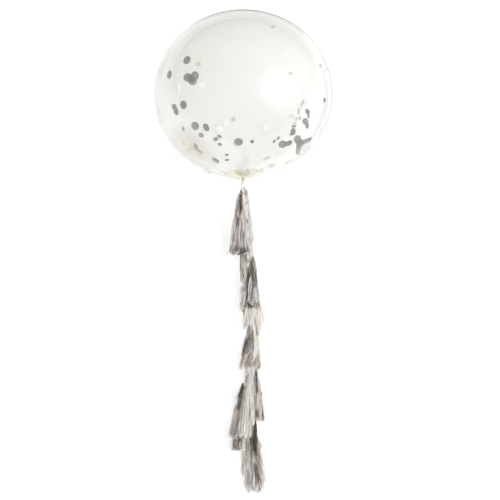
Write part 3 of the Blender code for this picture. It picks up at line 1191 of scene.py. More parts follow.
@dataclass
class Confetti:
    """Paper discs that cling to the film where it lies lowest, and that gather round the neck."""

    thickness: float = 0.3 * MM
    sides: int = 24
    gathered: int = 36
    gather_middle: tuple[float, float] = (8.0, -405.0)
    gather_reach: tuple[float, float] = (90.0, 10.0)
    gather_scatter: float = 18.0
    gather_wide: tuple[float, float] = (32.0, 40.0)
    gather_squash: tuple[float, float] = (0.3, 0.65)
    gather_lean: tuple[float, float] = (18.0, 12.0)
    gather_tones: tuple[float, ...] = (0.68, 0.72, 0.75, 0.78, 0.82)
    seed: int = 11
    steepest: float = 0.25
    sharp: float = radians(30)

    def place(self, balloon: Balloon, studio: "Studio", flake: Flake) -> tuple[Vector, Vector]:
        """Puts one disc against the film, with one edge on it where it is tilted.

        Args:
            balloon: The balloon that holds it.
            studio: The studio, whose camera gives the view from above.
            flake: The disc.

        Returns:
            Its middle and the way it faces.
        """
        up = Vector((0.0, cos(studio.tilt), sin(studio.tilt)))
        seen = balloon.centre + (ACROSS * flake.x + up * flake.y) * MM
        point, inward = balloon.far_wall(studio.eye, seen)
        facing = inward
        sight = (studio.eye - point).normalized()
        if flake.squash > 0:
            lean = radians(flake.lean)
            line = ACROSS * cos(lean) + up * sin(lean)
            aside = line.cross(sight).normalized()
            aside *= -1 if aside.dot(inward) < 0 else 1
            facing = sight * flake.squash + aside * sqrt(1 - flake.squash**2)
        radius = flake.wide * MM / 2
        bow = balloon.width / 2 - sqrt((balloon.width / 2) ** 2 - radius**2)
        off = sqrt(max(1 - facing.dot(inward) ** 2, 0.0))
        steepness = max(sight.dot(inward), self.steepest)
        middle = point + sight * (bow + radius * off + self.thickness) / steepness
        if point.z < balloon.flat_spot_depth:
            facing = UP.copy()
        lowest = balloon.film + self.thickness + radius * sqrt(max(1 - facing.z**2, 0.0))
        middle.z = max(middle.z, lowest)
        return middle, facing

    def gather(self, rng: random.Random) -> Flake:
        """Draws one disc of the drift at the neck.

        Args:
            rng: The source of random numbers.

        Returns:
            The disc.
        """
        across = rng.uniform(-1.0, 1.0)
        x, y = (m + r * across for m, r in zip(self.gather_middle, self.gather_reach))
        return Flake(
            x=x,
            y=y + rng.uniform(-self.gather_scatter, self.gather_scatter),
            wide=rng.uniform(*self.gather_wide),
            tone=rng.choice(self.gather_tones),
            squash=rng.uniform(*self.gather_squash),
            lean=self.gather_lean[0] * across + rng.gauss(0, self.gather_lean[1]),
        )

    def build(self, tree: NodeTree, balloon: Balloon, studio: "Studio") -> Object:
        """Builds all discs as one piece.

        Args:
            tree: The discs' geometry tree.
            balloon: The balloon that holds them.
            studio: The studio.

        Returns:
            The piece.
        """
        rng = random.Random(self.seed)
        flakes = [*FLAKES, *(self.gather(rng) for _ in range(self.gathered))]
        guide = Guide()
        for flake in flakes:
            middle, facing = self.place(balloon, studio, flake)
            guide.line([middle], [facing], wide=[flake.wide * MM], tone=[flake.tone])
        material = ConfettiPaper().material()
        values = {"Sides": self.sides, "Thickness": self.thickness, "Material": material}
        made = run_tree("confetti", tree, guide.mesh("confetti"), values)
        made.data.set_sharp_from_angle(angle=self.sharp)
        log.info("%s: %d discs", made.name, len(flakes))
        return made


# What the finished scene needs besides the object


@dataclass(frozen=True)
class Flag:
    """A card on the floor, cut so that the film mirrors it as a thin dark or pale line by its rim.

    start and end are where the line runs round the rim, in degrees from the right. outer and
    inner are how far within the rim its edges are, as shares of the balloon's radius, and light
    is how bright the card is.
    """

    start: float
    end: float
    outer: float
    inner: float
    light: float


FLAGS = (
    Flag(50.0, 122.0, 0.004, 0.042, 0.50),
    Flag(52.0, 120.0, 0.042, 0.085, 0.72),
    Flag(-30.0, 62.0, 0.012, 0.026, 0.74),
    Flag(-38.0, 28.0, 0.084, 0.150, 0.30),
)


@dataclass(frozen=True)
class Glow:
    """A brighter or darker patch of the room.

    way is its direction. wide and narrow are how far round it, in degrees, it starts and is full.
    once keeps it from rays that have passed through the film, so that it is mirrored only once.
    """

    way: tuple[float, float, float]
    wide: float
    narrow: float
    gain: float
    once: bool = False


GLOWS = (
    Glow((0.72, -0.29, 0.635), 31.5, 2.0, 3.2, once=True),
    Glow((0.90, -0.35, 0.30), 95.0, 20.0, 0.34),
    Glow((-0.60, 0.76, 0.20), 62.0, 12.0, -0.45),
)


@dataclass
class Studio:
    """The camera, the floor with its cards, the lamp and the pale room."""

    eye: Vector = field(default_factory=lambda: Vector((0.0341, -3.1046, 4.9434)))
    tilt: float = radians(26)
    lens: float = 75.82
    sensor: float = 36.0
    aim: tuple[float, float, float] = (0.0, -0.6, 0.2)
    key_place: tuple[float, float, float] = (2.2, -0.9, 2.5)
    key_size: float = 2.2
    key_power: float = 22.0
    floor_radius: float = 14.0
    floor_sides: int = 96
    floor_colour: str = "c2c2c1"
    floor_roughness: float = 0.9
    floor_middle: tuple[float, float, float] = (0.0, -0.6, 0.0)
    floor_reach: tuple[float, float] = (2.2, 4.8)
    floor_glow: tuple[float, float] = (0.62, 0.16)
    sky: tuple[tuple[float, float], ...] = ((0.0, 0.66), (0.25, 0.75), (0.9, 0.98))
    dimness: float = 0.72
    flag_lift: float = 3 * MM
    flag_steps: int = 48

    def make_camera(self) -> None:
        """Places the camera at the photograph's angle."""
        data = bpy.data.cameras.new("camera")
        data.lens = self.lens
        data.sensor_width = self.sensor
        camera = add_object("camera", data)
        camera.location = self.eye
        camera.rotation_euler = (self.tilt, 0.0, 0.0)
        bpy.context.scene.camera = camera

    def make_floor(self) -> None:
        """Lays a plain white floor that glows a little, most under the object."""
        bm = bmesh.new()
        bmesh.ops.create_circle(bm, cap_ends=True, segments=self.floor_sides, radius=self.floor_radius)
        made = add_object("floor", mesh_of("floor", bm))
        material, tree, shader = new_material("white_floor")
        place = add_node(tree, "ShaderNodeTexCoord")
        links = {0: place.outputs["Object"], 1: self.floor_middle}
        away = add_node(tree, "ShaderNodeVectorMath", {"operation": "DISTANCE"}, links)
        links = {
            "Value": away.outputs["Value"],
            "From Min": self.floor_reach[0],
            "From Max": self.floor_reach[1],
            "To Min": self.floor_glow[0],
            "To Max": self.floor_glow[1],
        }
        glow = add_node(tree, "ShaderNodeMapRange", SOFT, links)
        looks = {
            "Base Color": linear(self.floor_colour),
            "Roughness": self.floor_roughness,
            "Emission Color": WHITE,
            "Emission Strength": glow.outputs["Result"],
        }
        feed(tree, shader, looks)
        made.data.materials.append(material)

    def mirrored(self, balloon: Balloon, turn: float, depth: float) -> Vector:
        """Finds the spot of floor that the film mirrors to the camera near its rim.

        Args:
            balloon: The balloon.
            turn: Where on the rim it is, from the right.
            depth: How far within the rim it is, as a share of the radius.

        Returns:
            The spot, just above the floor.
        """
        sight = Vector((0.0, sin(self.tilt), -cos(self.tilt)))
        over = Vector((0.0, cos(self.tilt), sin(self.tilt)))
        out = ACROSS * cos(turn) + over * sin(turn)
        point = balloon.centre + out * balloon.width / 2
        bend = 2 * asin(sqrt(1 - (1 - depth) ** 2))
        way = sight * cos(bend) + out * sin(bend)
        return point + way * ((self.flag_lift - point.z) / way.z)

    def lay_flag(self, flag: Flag, balloon: Balloon) -> None:
        """Lays one card, out of the camera's sight and without a shadow.

        Args:
            flag: The card.
            balloon: The balloon that mirrors it.
        """
        bm = bmesh.new()
        middle = (flag.inner + flag.outer) / 2
        rows = []
        for i in range(self.flag_steps + 1):
            share = i / self.flag_steps
            turn = radians(flag.start + (flag.end - flag.start) * share)
            taper = 0.1 + 0.9 * sqrt(sin(pi * share))
            spread = (flag.inner - flag.outer) * taper / 2
            edges = [self.mirrored(balloon, turn, middle + s * spread) for s in (-1, 1)]
            rows.append([bm.verts.new(edge) for edge in edges])
        for before, after in zip(rows, rows[1:]):
            bm.faces.new((before[0], before[1], after[1], after[0]))
        made = add_object("flag", mesh_of("flag", bm))
        material, tree, shader = new_material("glowing_reflection_card")
        # The card is black and glows at its light's strength, and is seen only in the film's reflections: a
        # painted reflection on the rim.
        looks = {
            "Base Color": linear("000000"),
            "Specular IOR Level": 0.0,
            "Emission Color": WHITE,
            "Emission Strength": flag.light,
        }
        feed(tree, shader, looks)
        made.data.materials.append(material)
        for ray in ("camera", "diffuse", "transmission", "shadow"):
            setattr(made, "visible_" + ray, False)

    def hang_key(self) -> None:
        """Hangs the key lamp, a soft round one that lights but isn't seen or mirrored."""
        data = bpy.data.lights.new("key_softbox", "AREA")
        data.shape = "DISK"
        data.size = self.key_size
        data.energy = self.key_power
        lamp = add_object("key_softbox", data)
        lamp.location = self.key_place
        aim = Vector(self.aim) - Vector(self.key_place)
        lamp.rotation_euler = aim.to_track_quat("-Z", "Y").to_euler()
        for ray in ("camera", "glossy", "transmission"):
            setattr(lamp, "visible_" + ray, False)

    def make_room(self) -> None:
        """Sets the pale room round the object, paler higher up, with its glows."""
        world = bpy.data.worlds.new("room")
        world.use_nodes = True
        bpy.context.scene.world = world
        tree = world.node_tree
        place = add_node(tree, "ShaderNodeTexCoord").outputs["Generated"]
        height = add_node(tree, "ShaderNodeSeparateXYZ", links={0: place})
        stops = [(at, (grey, grey, grey, 1.0)) for at, grey in self.sky]
        sky = add_node(tree, RAMP, {"stops": stops}, {"Fac": height.outputs["Z"]})
        ray = add_node(tree, "ShaderNodeLightPath")
        links = {0: ray.outputs["Is Transmission Ray"], 1: 0.5}
        direct = add_node(tree, "ShaderNodeMath", {"operation": "LESS_THAN"}, links).outputs[0]
        strength = self.dimness
        for glow in GLOWS:
            links = {0: place, 1: tuple(Vector(glow.way).normalized())}
            towards = add_node(tree, "ShaderNodeVectorMath", {"operation": "DOT_PRODUCT"}, links)
            links = {
                "Value": towards.outputs["Value"],
                "From Min": cos(radians(glow.wide)),
                "From Max": cos(radians(glow.narrow)),
                "To Max": glow.gain,
            }
            patch = add_node(tree, "ShaderNodeMapRange", SOFT, links)
            links = {0: patch.outputs["Result"], 1: direct if glow.once else 1.0, 2: strength}
            strength = add_node(tree, "ShaderNodeMath", {"operation": "MULTIPLY_ADD"}, links).outputs[0]
        feed(tree, tree.nodes["Background"], {"Color": sky.outputs["Color"], "Strength": strength})

    def build(self, balloon: Balloon) -> None:
        """Builds the whole studio.

        Args:
            balloon: The balloon that it lights.
        """
        self.make_camera()
        self.make_floor()
        for flag in FLAGS:
            self.lay_flag(flag, balloon)
        self.hang_key()
        self.make_room()
        bpy.context.scene.view_settings.view_transform = "Standard"


# The twine


@dataclass
class Twine:
    """The garland's cord: three cotton plies, tied round the balloon's neck and knotted at its end."""

    route: tuple[tuple[float, float, float], ...] = (
        (0.000, -0.3900, 0.2120),
        (0.000, -0.4020, 0.1950),
        (0.001, -0.4200, 0.1745),
        (0.002, -0.4450, 0.1500),
        (0.003, -0.4750, 0.1235),
        (0.006, -0.5100, 0.0965),
        (0.010, -0.5500, 0.0715),
        (0.016, -0.6000, 0.0480),
        (0.022, -0.6500, 0.0295),
        (0.028, -0.7000, 0.0160),
        (0.033, -0.7420, 0.0085),
        (0.036, -0.7900, 0.0040),
        (0.035, -0.8500, 0.0030),
        (0.032, -0.9000, 0.0072),
        (0.030, -0.9500, 0.0030),
        (0.030, -1.0200, 0.0020),
        (0.033, -1.0980, 0.0072),
        (0.037, -1.1600, 0.0025),
        (0.040, -1.2400, 0.0022),
        (0.041, -1.3300, 0.0072),
        (0.039, -1.3750, 0.0072),
        (0.034, -1.4220, 0.0072),
        (0.030, -1.4750, 0.0072),
        (0.029, -1.5600, 0.0025),
        (0.031, -1.6550, 0.0072),
        (0.030, -1.6920, 0.0072),
        (0.027, -1.7250, 0.0035),
    )
    route_steps: int = 24
    diameter: float = 0.002
    plies: int = 3
    ply_sides: int = 5
    ply_radius: float = 0.54 * MM
    lay_radius: float = 0.46 * MM
    lay_length: float = 7 * MM
    step: float = 1.1 * MM
    knot_radius: float = 1.9 * MM
    knot_steps: int = 48
    tie_place: float = 2 * MM
    tie_turns: int = 4
    tie_steps: int = 24
    tie_pitch: float = 0.95

    def path(self) -> list[Vector]:
        """Gives the twine's middle line at even distances.

        Returns:
            The line's points.
        """
        curve = smooth_curve(list(self.route), self.route_steps)
        length = run_of(curve)[-1]
        return along(curve, np.linspace(0.0, length, ceil(length / self.step)))

    def laid(self, name: str, line: list[Vector], tree: NodeTree, material: Material) -> Object:
        """Lays the plies along a line.

        Args:
            name: The object's name.
            line: The middle line.
            tree: The rope's geometry tree.
            material: The twine's material.

        Returns:
            The twine as a plain mesh.
        """
        guide = Guide()
        guide.line(line, [UP] * len(line))
        values = {
            "Plies": self.plies,
            "Ply Radius": self.ply_radius,
            "Lay Radius": self.lay_radius,
            "Turn": 2 * pi / self.lay_length,
            "Sides": self.ply_sides,
            "Material": material,
        }
        made = run_tree(name, tree, guide.mesh(name), values)
        made.data.shade_smooth()
        return made

    def overhand(self, middle: Vector, way: Vector, size: float) -> list[Vector]:
        """Gives the closed line of a small overhand knot.

        Args:
            middle: The knot's middle.
            way: Which way the twine runs through it.
            size: The knot's radius.

        Returns:
            The line's points.
        """
        side = way.cross(UP).normalized()
        over = side.cross(way)
        points = []
        for t in around(self.knot_steps):
            wide = (sin(t) + 2 * sin(2 * t)) / 3
            high = (cos(t) - 2 * cos(2 * t)) / 3
            deep = -sin(3 * t) / 2
            points.append(middle + (side * wide + over * high + way * deep) * size)
        return points

    def tie(self, balloon: Balloon) -> list[Vector]:
        """Gives the line of the turns round the balloon's neck, down to the twine's start.

        Args:
            balloon: The balloon that it is tied to.

        Returns:
            The line's points.
        """
        neck = balloon.neck() + balloon.axis * self.tie_place
        radius = balloon.neck_radius + self.diameter / 2
        points = []
        for i in range(self.tie_turns * self.tie_steps + 1):
            turned = i / self.tie_steps
            shift = (turned - self.tie_turns / 2) * self.diameter * self.tie_pitch
            out = balloon.out(pi / 2 - 2 * pi * turned)
            points.append(neck + balloon.axis * shift + out * radius)
        return points

    def build(self, tree: NodeTree, balloon: Balloon) -> list[Vector]:
        """Args:
            tree: The rope's geometry tree.
            balloon: The balloon that it is tied to.

        Returns:
            The cord's middle line.
        """
        material = CottonTwine().material()
        path = self.path()
        cord = self.laid("twine_cord", path, tree, material)
        knot = self.overhand(path[-1], (path[-1] - path[-4]).normalized(), self.knot_radius)
        end = self.laid("twine_end_knot", knot, tree, material)
        tie = self.laid("twine_tie", self.tie(balloon), tree, material)
        for piece in (cord, end, tie):
            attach(piece, "root")
        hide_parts("garland_twine")
        return path


# The tassels


@dataclass(frozen=True)
class ShadePatch:
    """A place in a tassel's skirt painted darker or lighter than the rest: painted shade and light.

    across runs from -1 to 1 over the skirt, start and end are shares of the tassel's length, tone
    is added to the strips' own, and wide is how far the patch reaches to either side.
    """

    across: float
    start: float
    end: float
    tone: float
    wide: float = 0.25


def strip_of(rows: list[tuple[Vector, Vector, float, float]]) -> dict[str, list]:
    """Sorts what a strip is at each of its points into lists.

    Args:
        rows: The point, the way that the strip faces, its width and its tone, one after another.

    Returns:
        The strip's points, facing, wide and tone.
    """
    names = ("points", "facing", "wide", "tone")
    return {name: list(column) for name, column in zip(names, zip(*rows))}


@dataclass(frozen=True)
class Drift:
    """Strips that have slid out of a bundle and lie fanned from one line to another.

    Each line is given by its two ends, and each end by millimetres: +X, then how far along the
    garland from the balloon's flat spot, then the height. bow is how far the strips bulge to +X
    and sway and heave are how far they wave aside and up, in millimetres too. waves are the
    waves' radians a metre: aside, up, of the curl and of the tone. The other values say how
    unlike one another the strips are.
    """

    count: int
    start: tuple[tuple[float, float, float], tuple[float, float, float]]
    end: tuple[tuple[float, float, float], tuple[float, float, float]]
    tone: float = 0.5
    wide: float = 8.0
    sway: float = 3.0
    bow: float = 0.0
    heave: float = 2.0
    scatter: float = 0.12
    shortest: float = 0.82
    roll: float = 0.35
    curl: float = 0.4
    spread: float = 0.07
    ripple: float = 0.08
    waves: tuple[float, float, float, float] = (28.0, 36.0, 26.0, 50.0)
    widths: tuple[float, float] = (0.8, 1.2)
    tuck: float = 0.22
    tucked: float = 0.12
    bow_lead: float = 0.6
    step_mm: float = 12.0
    least_steps: int = 5

    def lay(self, rng: random.Random, floor_gap: float) -> list[dict[str, list]]:
        """Lays the strips.

        Args:
            rng: The source of random numbers.
            floor_gap: How far above the floor they stay.

        Returns:
            Each strip's points, facing, widths and tones.
        """
        lines = (self.start, self.end)
        starts, ends = ([Vector((x, -y, z)) * MM for x, y, z in line] for line in lines)
        made = []
        for i in range(self.count):
            at = (i + rng.random()) / self.count
            first = starts[0].lerp(starts[1], at)
            last = ends[0].lerp(ends[1], min(max(at + rng.gauss(0, self.scatter), 0.0), 1.0))
            last = first.lerp(last, rng.uniform(self.shortest, 1.0))
            reach = (last - first).length
            wave = [rng.uniform(0, 2 * pi) for _ in self.waves]
            roll = rng.gauss(0, self.roll)
            tone = self.tone + rng.gauss(0, self.spread)
            wide = self.wide * MM * rng.uniform(*self.widths)
            count = max(self.least_steps, round(reach / (self.step_mm * MM)))
            rows = []
            for step in range(count + 1):
                share = step / count
                aside, up, curl, ripple = (sin(w * reach * share + s) for w, s in zip(self.waves, wave))
                point = first.lerp(last, share)
                point.x += self.sway * MM * (aside - sin(wave[0]))
                point.x += self.bow * MM * sin(pi * share**self.bow_lead)
                point.z += self.heave * MM * up
                point.z = max(point.z, floor_gap + wide / 4)
                facing = Matrix.Rotation(roll + self.curl * curl, 3, DOWN_THE_GARLAND) @ UP
                width = wide * (self.tucked + (1 - self.tucked) * smooth_step(share / self.tuck))
                rows.append((point, facing, width, tone + self.ripple * ripple))
            made.append(strip_of(rows))
        return made


@dataclass
class Envelope:
    """The room that a tassel's solid takes: its middle and half sizes at places along -Y."""

    node: str
    top: float
    hem_gap: float = 1.0 * MM
    cuts: int = 44
    least_drop: float = 1e-7
    places: np.ndarray = field(init=False)
    middles: np.ndarray = field(init=False)
    halves: np.ndarray = field(init=False)

    def __post_init__(self) -> None:
        """Cuts the solid across at even places, from its twist to its hem."""
        mesh = bpy.data.objects[self.node].data
        corners = np.array([vertex.co for vertex in mesh.vertices])
        ends = np.array([edge.vertices for edge in mesh.edges])
        first, second = corners[ends[:, 0]], corners[ends[:, 1]]
        self.places = np.linspace(self.top, corners[:, 1].min() + self.hem_gap, self.cuts)
        middles, halves = [], []
        for y in self.places:
            crossing = (first[:, 1] - y) * (second[:, 1] - y) <= 0
            crossing &= np.abs(first[:, 1] - second[:, 1]) > self.least_drop
            a, b = first[crossing], second[crossing]
            share = ((y - a[:, 1]) / (b[:, 1] - a[:, 1]))[:, None]
            points = a + (b - a) * share
            least, most = points.min(axis=0), points.max(axis=0)
            middles.append((least + most) / 2)
            halves.append((most - least) / 2)
        self.middles = np.array(middles)
        self.halves = np.array(halves)
        self.halves[:, 0] = np.maximum.accumulate(self.halves[:, 0])

    def at(self, y: float) -> tuple[Vector, float, float]:
        """Gives the room at a place.

        Args:
            y: The place along Y.

        Returns:
            Its middle, half its width and half its thickness.
        """
        columns = (*self.middles.T, self.halves[:, 0], self.halves[:, 2])
        *middle, wide, thick = (float(np.interp(-y, -self.places, column)) for column in columns)
        return Vector(middle), wide, thick


@dataclass
class Lie:
    """How one half strip lies in its skirt.

    turn and depth place it in the bundle, sweep leads it aside towards the hem, and limit is how
    far aside it may come. roll and curl turn its face, and flutter is how far it waves.
    """

    turn: float
    depth: float
    roll: float
    curl: float
    wave: list[float]
    flutter: float
    wide: float
    tone: float
    sweep: float
    limit: float = 1.0


@dataclass
class Tassel:
    """A bundle of paper strips, twisted at its middle and folded round the twine.

    station is where it hangs, in metres along -Y, and outward the side to which it hangs. hem
    gives how far down the strips reach, as pairs of a place across and a share of the length.
    The values that start with stray are those of the few thin strips that stand off.
    """

    node: str
    paper: Paper
    station: float
    outward: float
    seed: int
    tone: float = 0.8
    # Painted shade: how much darker the strips are near the twist, where they are gathered tight.
    head_shade: float = -0.30
    head_reach: float = 0.080
    head_full: float = 0.2
    hem: tuple[tuple[float, float], ...] = ((-1.0, 1.0), (1.0, 1.0))
    # folds holds the patches of painted shade and painted light in the skirt.
    folds: tuple[ShadePatch, ...] = ()
    drifts: tuple[Drift, ...] = ()
    spread: float = 0.13
    strips: int = 30
    flyaways: int = 7
    loop_radius: float = 0.0040
    loop_half: float = 0.0030
    loop_tilt: float = radians(53)
    loop_sight: int = 8
    twist_radius: float = 0.0055
    twist_top: float = 0.0145
    twist_turn: float = 2 * pi * 0.8
    loop_turns: tuple[int, ...] = (70, 120, 180, 240, 290)
    loop_steps: int = 3
    loop_lift_mm: tuple[float, float] = (0.5, 3.0)
    loop_foot: float = 1.6 * MM
    loop_rise: float = 1.5 * MM
    loop_slack: float = 0.9 * MM
    loop_wide: float = 4.4 * MM
    loop_shade: float = 0.7
    open_start: float = 10 * MM
    open_reach: float = 70 * MM
    neck_step_mm: float = 3.5
    neck_steps: int = 8
    skirt_start: float = 34 * MM
    skirt_steps: int = 19
    strip_wide: float = 0.0105
    pinched: float = 0.55
    widths: tuple[float, float] = (0.70, 1.25)
    core: float = 0.30
    fill: float = 0.66
    sweep: float = 0.20
    roll: float = 0.40
    curl: float = 0.5
    stray_turn: float = 0.5
    stray_depth: tuple[float, float] = (0.95, 1.15)
    stray_sweep: tuple[float, float] = (0.0, 0.35)
    stray_limit: float = 1.45
    stray_wide: float = 0.45
    stray_tone: float = 0.18
    snug: tuple[float, float] = (0.97, 0.95)
    flutter_mm: tuple[float, float] = (2.0, 5.5)
    ripple: float = 0.10
    waves: tuple[float, float, float, float] = (30.0, 42.0, 24.0, 55.0)
    hem_start: float = 0.6
    hem_flatness: float = 0.35
    ragged: float = 0.034
    ragged_bias: float = 1.3
    torn_share: float = 0.16
    torn_by: float = 0.05
    floor_gap: float = 0.8 * MM
    lowest: float = 0.2 * MM
    crease: float = 0.13
    thickness: float = 0.03

    def loop_frame(self, path: list[Vector]) -> tuple[Vector, Vector, Vector, Vector]:
        """Finds where the loop hangs on the twine.

        Args:
            path: The twine's middle line.

        Returns:
            The loop's middle, the twine's way there, the way out to the twist, and the side.
        """
        past = next(i for i, point in enumerate(path) if point.y <= -self.station)
        before, after = path[past - 1], path[past]
        middle = before.lerp(after, (before.y + self.station) / (before.y - after.y))
        ahead = path[min(past + self.loop_sight, len(path) - 1)]
        forward = (ahead - path[max(past - 1 - self.loop_sight, 0)]).normalized()
        away = ACROSS * self.outward * cos(self.loop_tilt) + UP * sin(self.loop_tilt)
        away = (away - forward * away.dot(forward)).normalized()
        return middle, forward, away, forward.cross(away)

    def shade(self, across: float, share: float, soft: float = 0.05) -> float:
        """Gives the painted shade and light that the patches add at a point of the skirt.

        Args:
            across: Where the point is across the skirt, from -1 to 1.
            share: Where it is along the tassel, from 0 to 1.
            soft: How softly a fold starts and ends along the tassel.

        Returns:
            The painted shade and light that the patches add to the strip's tone.
        """
        total = 0.0
        for shade_patch in self.folds:
            near = smooth_step(1.5 - abs(across - shade_patch.across) / shade_patch.wide)
            inside = smooth_step((share - shade_patch.start) / soft) * smooth_step((shade_patch.end - share) / soft)
            total += shade_patch.tone * near * inside
        return total

    def draw(self, rng: random.Random, loose: bool) -> Lie:
        """Draws how one half strip lies.

        Args:
            rng: The source of random numbers.
            loose: Whether it is thin and pale and strays past the bundle's outline.

        Returns:
            How it lies.
        """
        lie = Lie(
            turn=rng.uniform(0, 2 * pi),
            depth=self.core + self.fill * sqrt(rng.random()),
            roll=rng.gauss(0, self.roll),
            curl=rng.uniform(-self.curl, self.curl),
            wave=[rng.uniform(0, 2 * pi) for _ in self.waves],
            flutter=rng.uniform(*self.flutter_mm) * MM,
            wide=self.strip_wide * rng.uniform(*self.widths),
            tone=self.tone + rng.gauss(0, self.spread),
            sweep=rng.gauss(0, self.sweep),
        )
        if loose:
            lie.turn = rng.choice((0.0, pi)) + rng.uniform(-self.stray_turn, self.stray_turn)
            lie.depth = rng.uniform(*self.stray_depth)
            lie.sweep = rng.uniform(*self.stray_sweep) * (1 if cos(lie.turn) > 0 else -1)
            lie.limit = self.stray_limit
            lie.wide *= self.stray_wide
            lie.tone += self.stray_tone
        return lie

    def point_at(self, lie: Lie, room: Envelope, run: float, length: float) -> tuple:
        """Works out one point of a half strip.

        Args:
            lie: How the half strip lies.
            room: The room that the tassel takes.
            run: How far down from the twist the point is.
            length: How far down the tassel reaches.

        Returns:
            The point, the way that the strip faces there, its width and its tone.
        """
        middle, half_wide, half_thick = room.at(room.top - run)
        opened = smooth_step((run - self.open_start) / self.open_reach)
        share = run / length
        angle = lie.turn + self.twist_turn * (1 - opened) * self.outward
        across = lie.depth * cos(angle) + lie.sweep * opened * share
        across = min(max(across, -lie.limit), lie.limit)
        flat = self.hem_flatness * smooth_step((share - self.hem_start) / (1 - self.hem_start))
        over = lie.depth * sin(angle) * (1 - flat)
        aside, up, curl, ripple = (sin(w * run + s) for w, s in zip(self.waves, lie.wave))
        x = middle.x + half_wide * across * self.snug[0] + lie.flutter * opened * aside
        z = middle.z + half_thick * over * self.snug[1] + 0.5 * lie.flutter * opened * up
        least = 0.1 * MM
        out = Vector((across / max(half_wide, least), 0.0, over / max(half_thick, least)))
        out = out.normalized() if out.length > 0 else UP
        facing = Matrix.Rotation((lie.roll + lie.curl * curl) * opened, 3, DOWN_THE_GARLAND) @ out
        # Near the twist the strips are painted darker, painted shade where they are gathered, and the
        # patches add their painted shade and light.
        below = run - self.head_full * self.head_reach
        head = self.head_shade * (1 - smooth_step(below / self.head_reach))
        tone = lie.tone + self.ripple * ripple + head + self.shade(across, share)
        point = Vector((x, room.top - run, max(z, self.floor_gap)))
        return point, facing, lie.wide * (self.pinched + (1 - self.pinched) * opened), tone

    def hanging(self, rng: random.Random, room: Envelope, loose: bool = False) -> dict[str, list]:
        """Lays one half of a strip from the twist to its end in the skirt.

        Args:
            rng: The source of random numbers.
            room: The room that the tassel takes.
            loose: Whether it is thin and pale and strays past the bundle's outline.

        Returns:
            The half strip's points, facing, widths and tones.
        """
        length = room.top - float(room.places[-1])
        lie = self.draw(rng, loose)
        side = min(max(lie.depth * cos(lie.turn) + lie.sweep, -1.0), 1.0)
        hem = float(np.interp(side, *zip(*self.hem)))
        ragged = self.ragged * rng.random() ** self.ragged_bias
        torn = self.torn_by if rng.random() < self.torn_share else 0.0
        runs = [i * self.neck_step_mm * MM for i in range(self.neck_steps)]
        runs += list(np.linspace(self.skirt_start, length * hem - ragged - torn, self.skirt_steps))
        return strip_of([self.point_at(lie, room, run, length) for run in runs])

    def loop(self, rng: random.Random, hook: tuple, starts: tuple[Vector, Vector]) -> dict[str, list]:
        """Lays the middle of a strip round the twine, from one half to the other.

        Args:
            rng: The source of random numbers.
            hook: The loop's middle and its three ways.
            starts: Where the two halves begin.

        Returns:
            The points, facing, widths and tones between the halves.
        """
        middle, forward, away, side = hook
        reach = self.loop_radius + rng.uniform(-1.0, 1.0) * self.loop_slack
        shift = forward * rng.uniform(-1.0, 1.0) * self.loop_half
        over = (away - forward).normalized()
        foot = side * self.loop_foot
        bend = middle + away * (self.loop_radius + self.loop_rise) + forward * self.twist_radius
        turns = [radians(turn) for turn in self.loop_turns]
        outs = [away * cos(turn) + side * sin(turn) for turn in turns]
        first = bend + foot + over * rng.uniform(*self.loop_lift_mm) * MM
        last = bend - foot + over * rng.uniform(*self.loop_lift_mm) * MM
        points = [starts[0], first, *(middle + shift + out * reach for out in outs), last, starts[1]]
        line = smooth_curve(points, self.loop_steps)[1:-1]
        facing = smooth_curve([over, over, *outs, over, over], self.loop_steps)[1:-1]
        looks = [way.normalized() for way in facing]
        # The loop round the twine gets part of the painted shade of the twist.
        tone = self.tone + self.head_shade * self.loop_shade + rng.gauss(0, self.spread)
        return strip_of([(point, look, self.loop_wide, tone) for point, look in zip(line, looks)])

    def build(self, tree: NodeTree, path: list[Vector], material: Material) -> Object:
        """Builds the tassel as one mesh of strips.

        Args:
            tree: The strips' geometry tree.
            path: The twine's middle line.
            material: The paper's material.

        Returns:
            The piece.
        """
        rng = random.Random(self.seed)
        hook = self.loop_frame(path)
        room = Envelope(self.node, hook[0].y - self.twist_top)
        strips = []
        for _ in range(self.strips):
            first, second = self.hanging(rng, room), self.hanging(rng, room)
            top = self.loop(rng, hook, (first["points"][0], second["points"][0]))
            strips.append({key: first[key][::-1] + top[key] + second[key] for key in first})
        strips += [self.hanging(rng, room, loose=True) for _ in range(self.flyaways)]
        for drift in self.drifts:
            strips += drift.lay(rng, self.floor_gap)
        guide = Guide()
        for strip in strips:
            guide.line(**strip)
        values = {"Thickness": self.thickness, "Crease": self.crease, "Material": material}
        name = self.node.replace("_tassel_", "_paper_tassel_")
        made = run_tree(name, tree, guide.mesh(name), values)
        for vertex in made.data.vertices:
            vertex.co.z = max(vertex.co.z, self.lowest)
        made.data.shade_smooth()
        made.data.set_sharp_from_angle(angle=radians(40))
        log.info("%s: %d strips", made.name, len(strips))
        return made
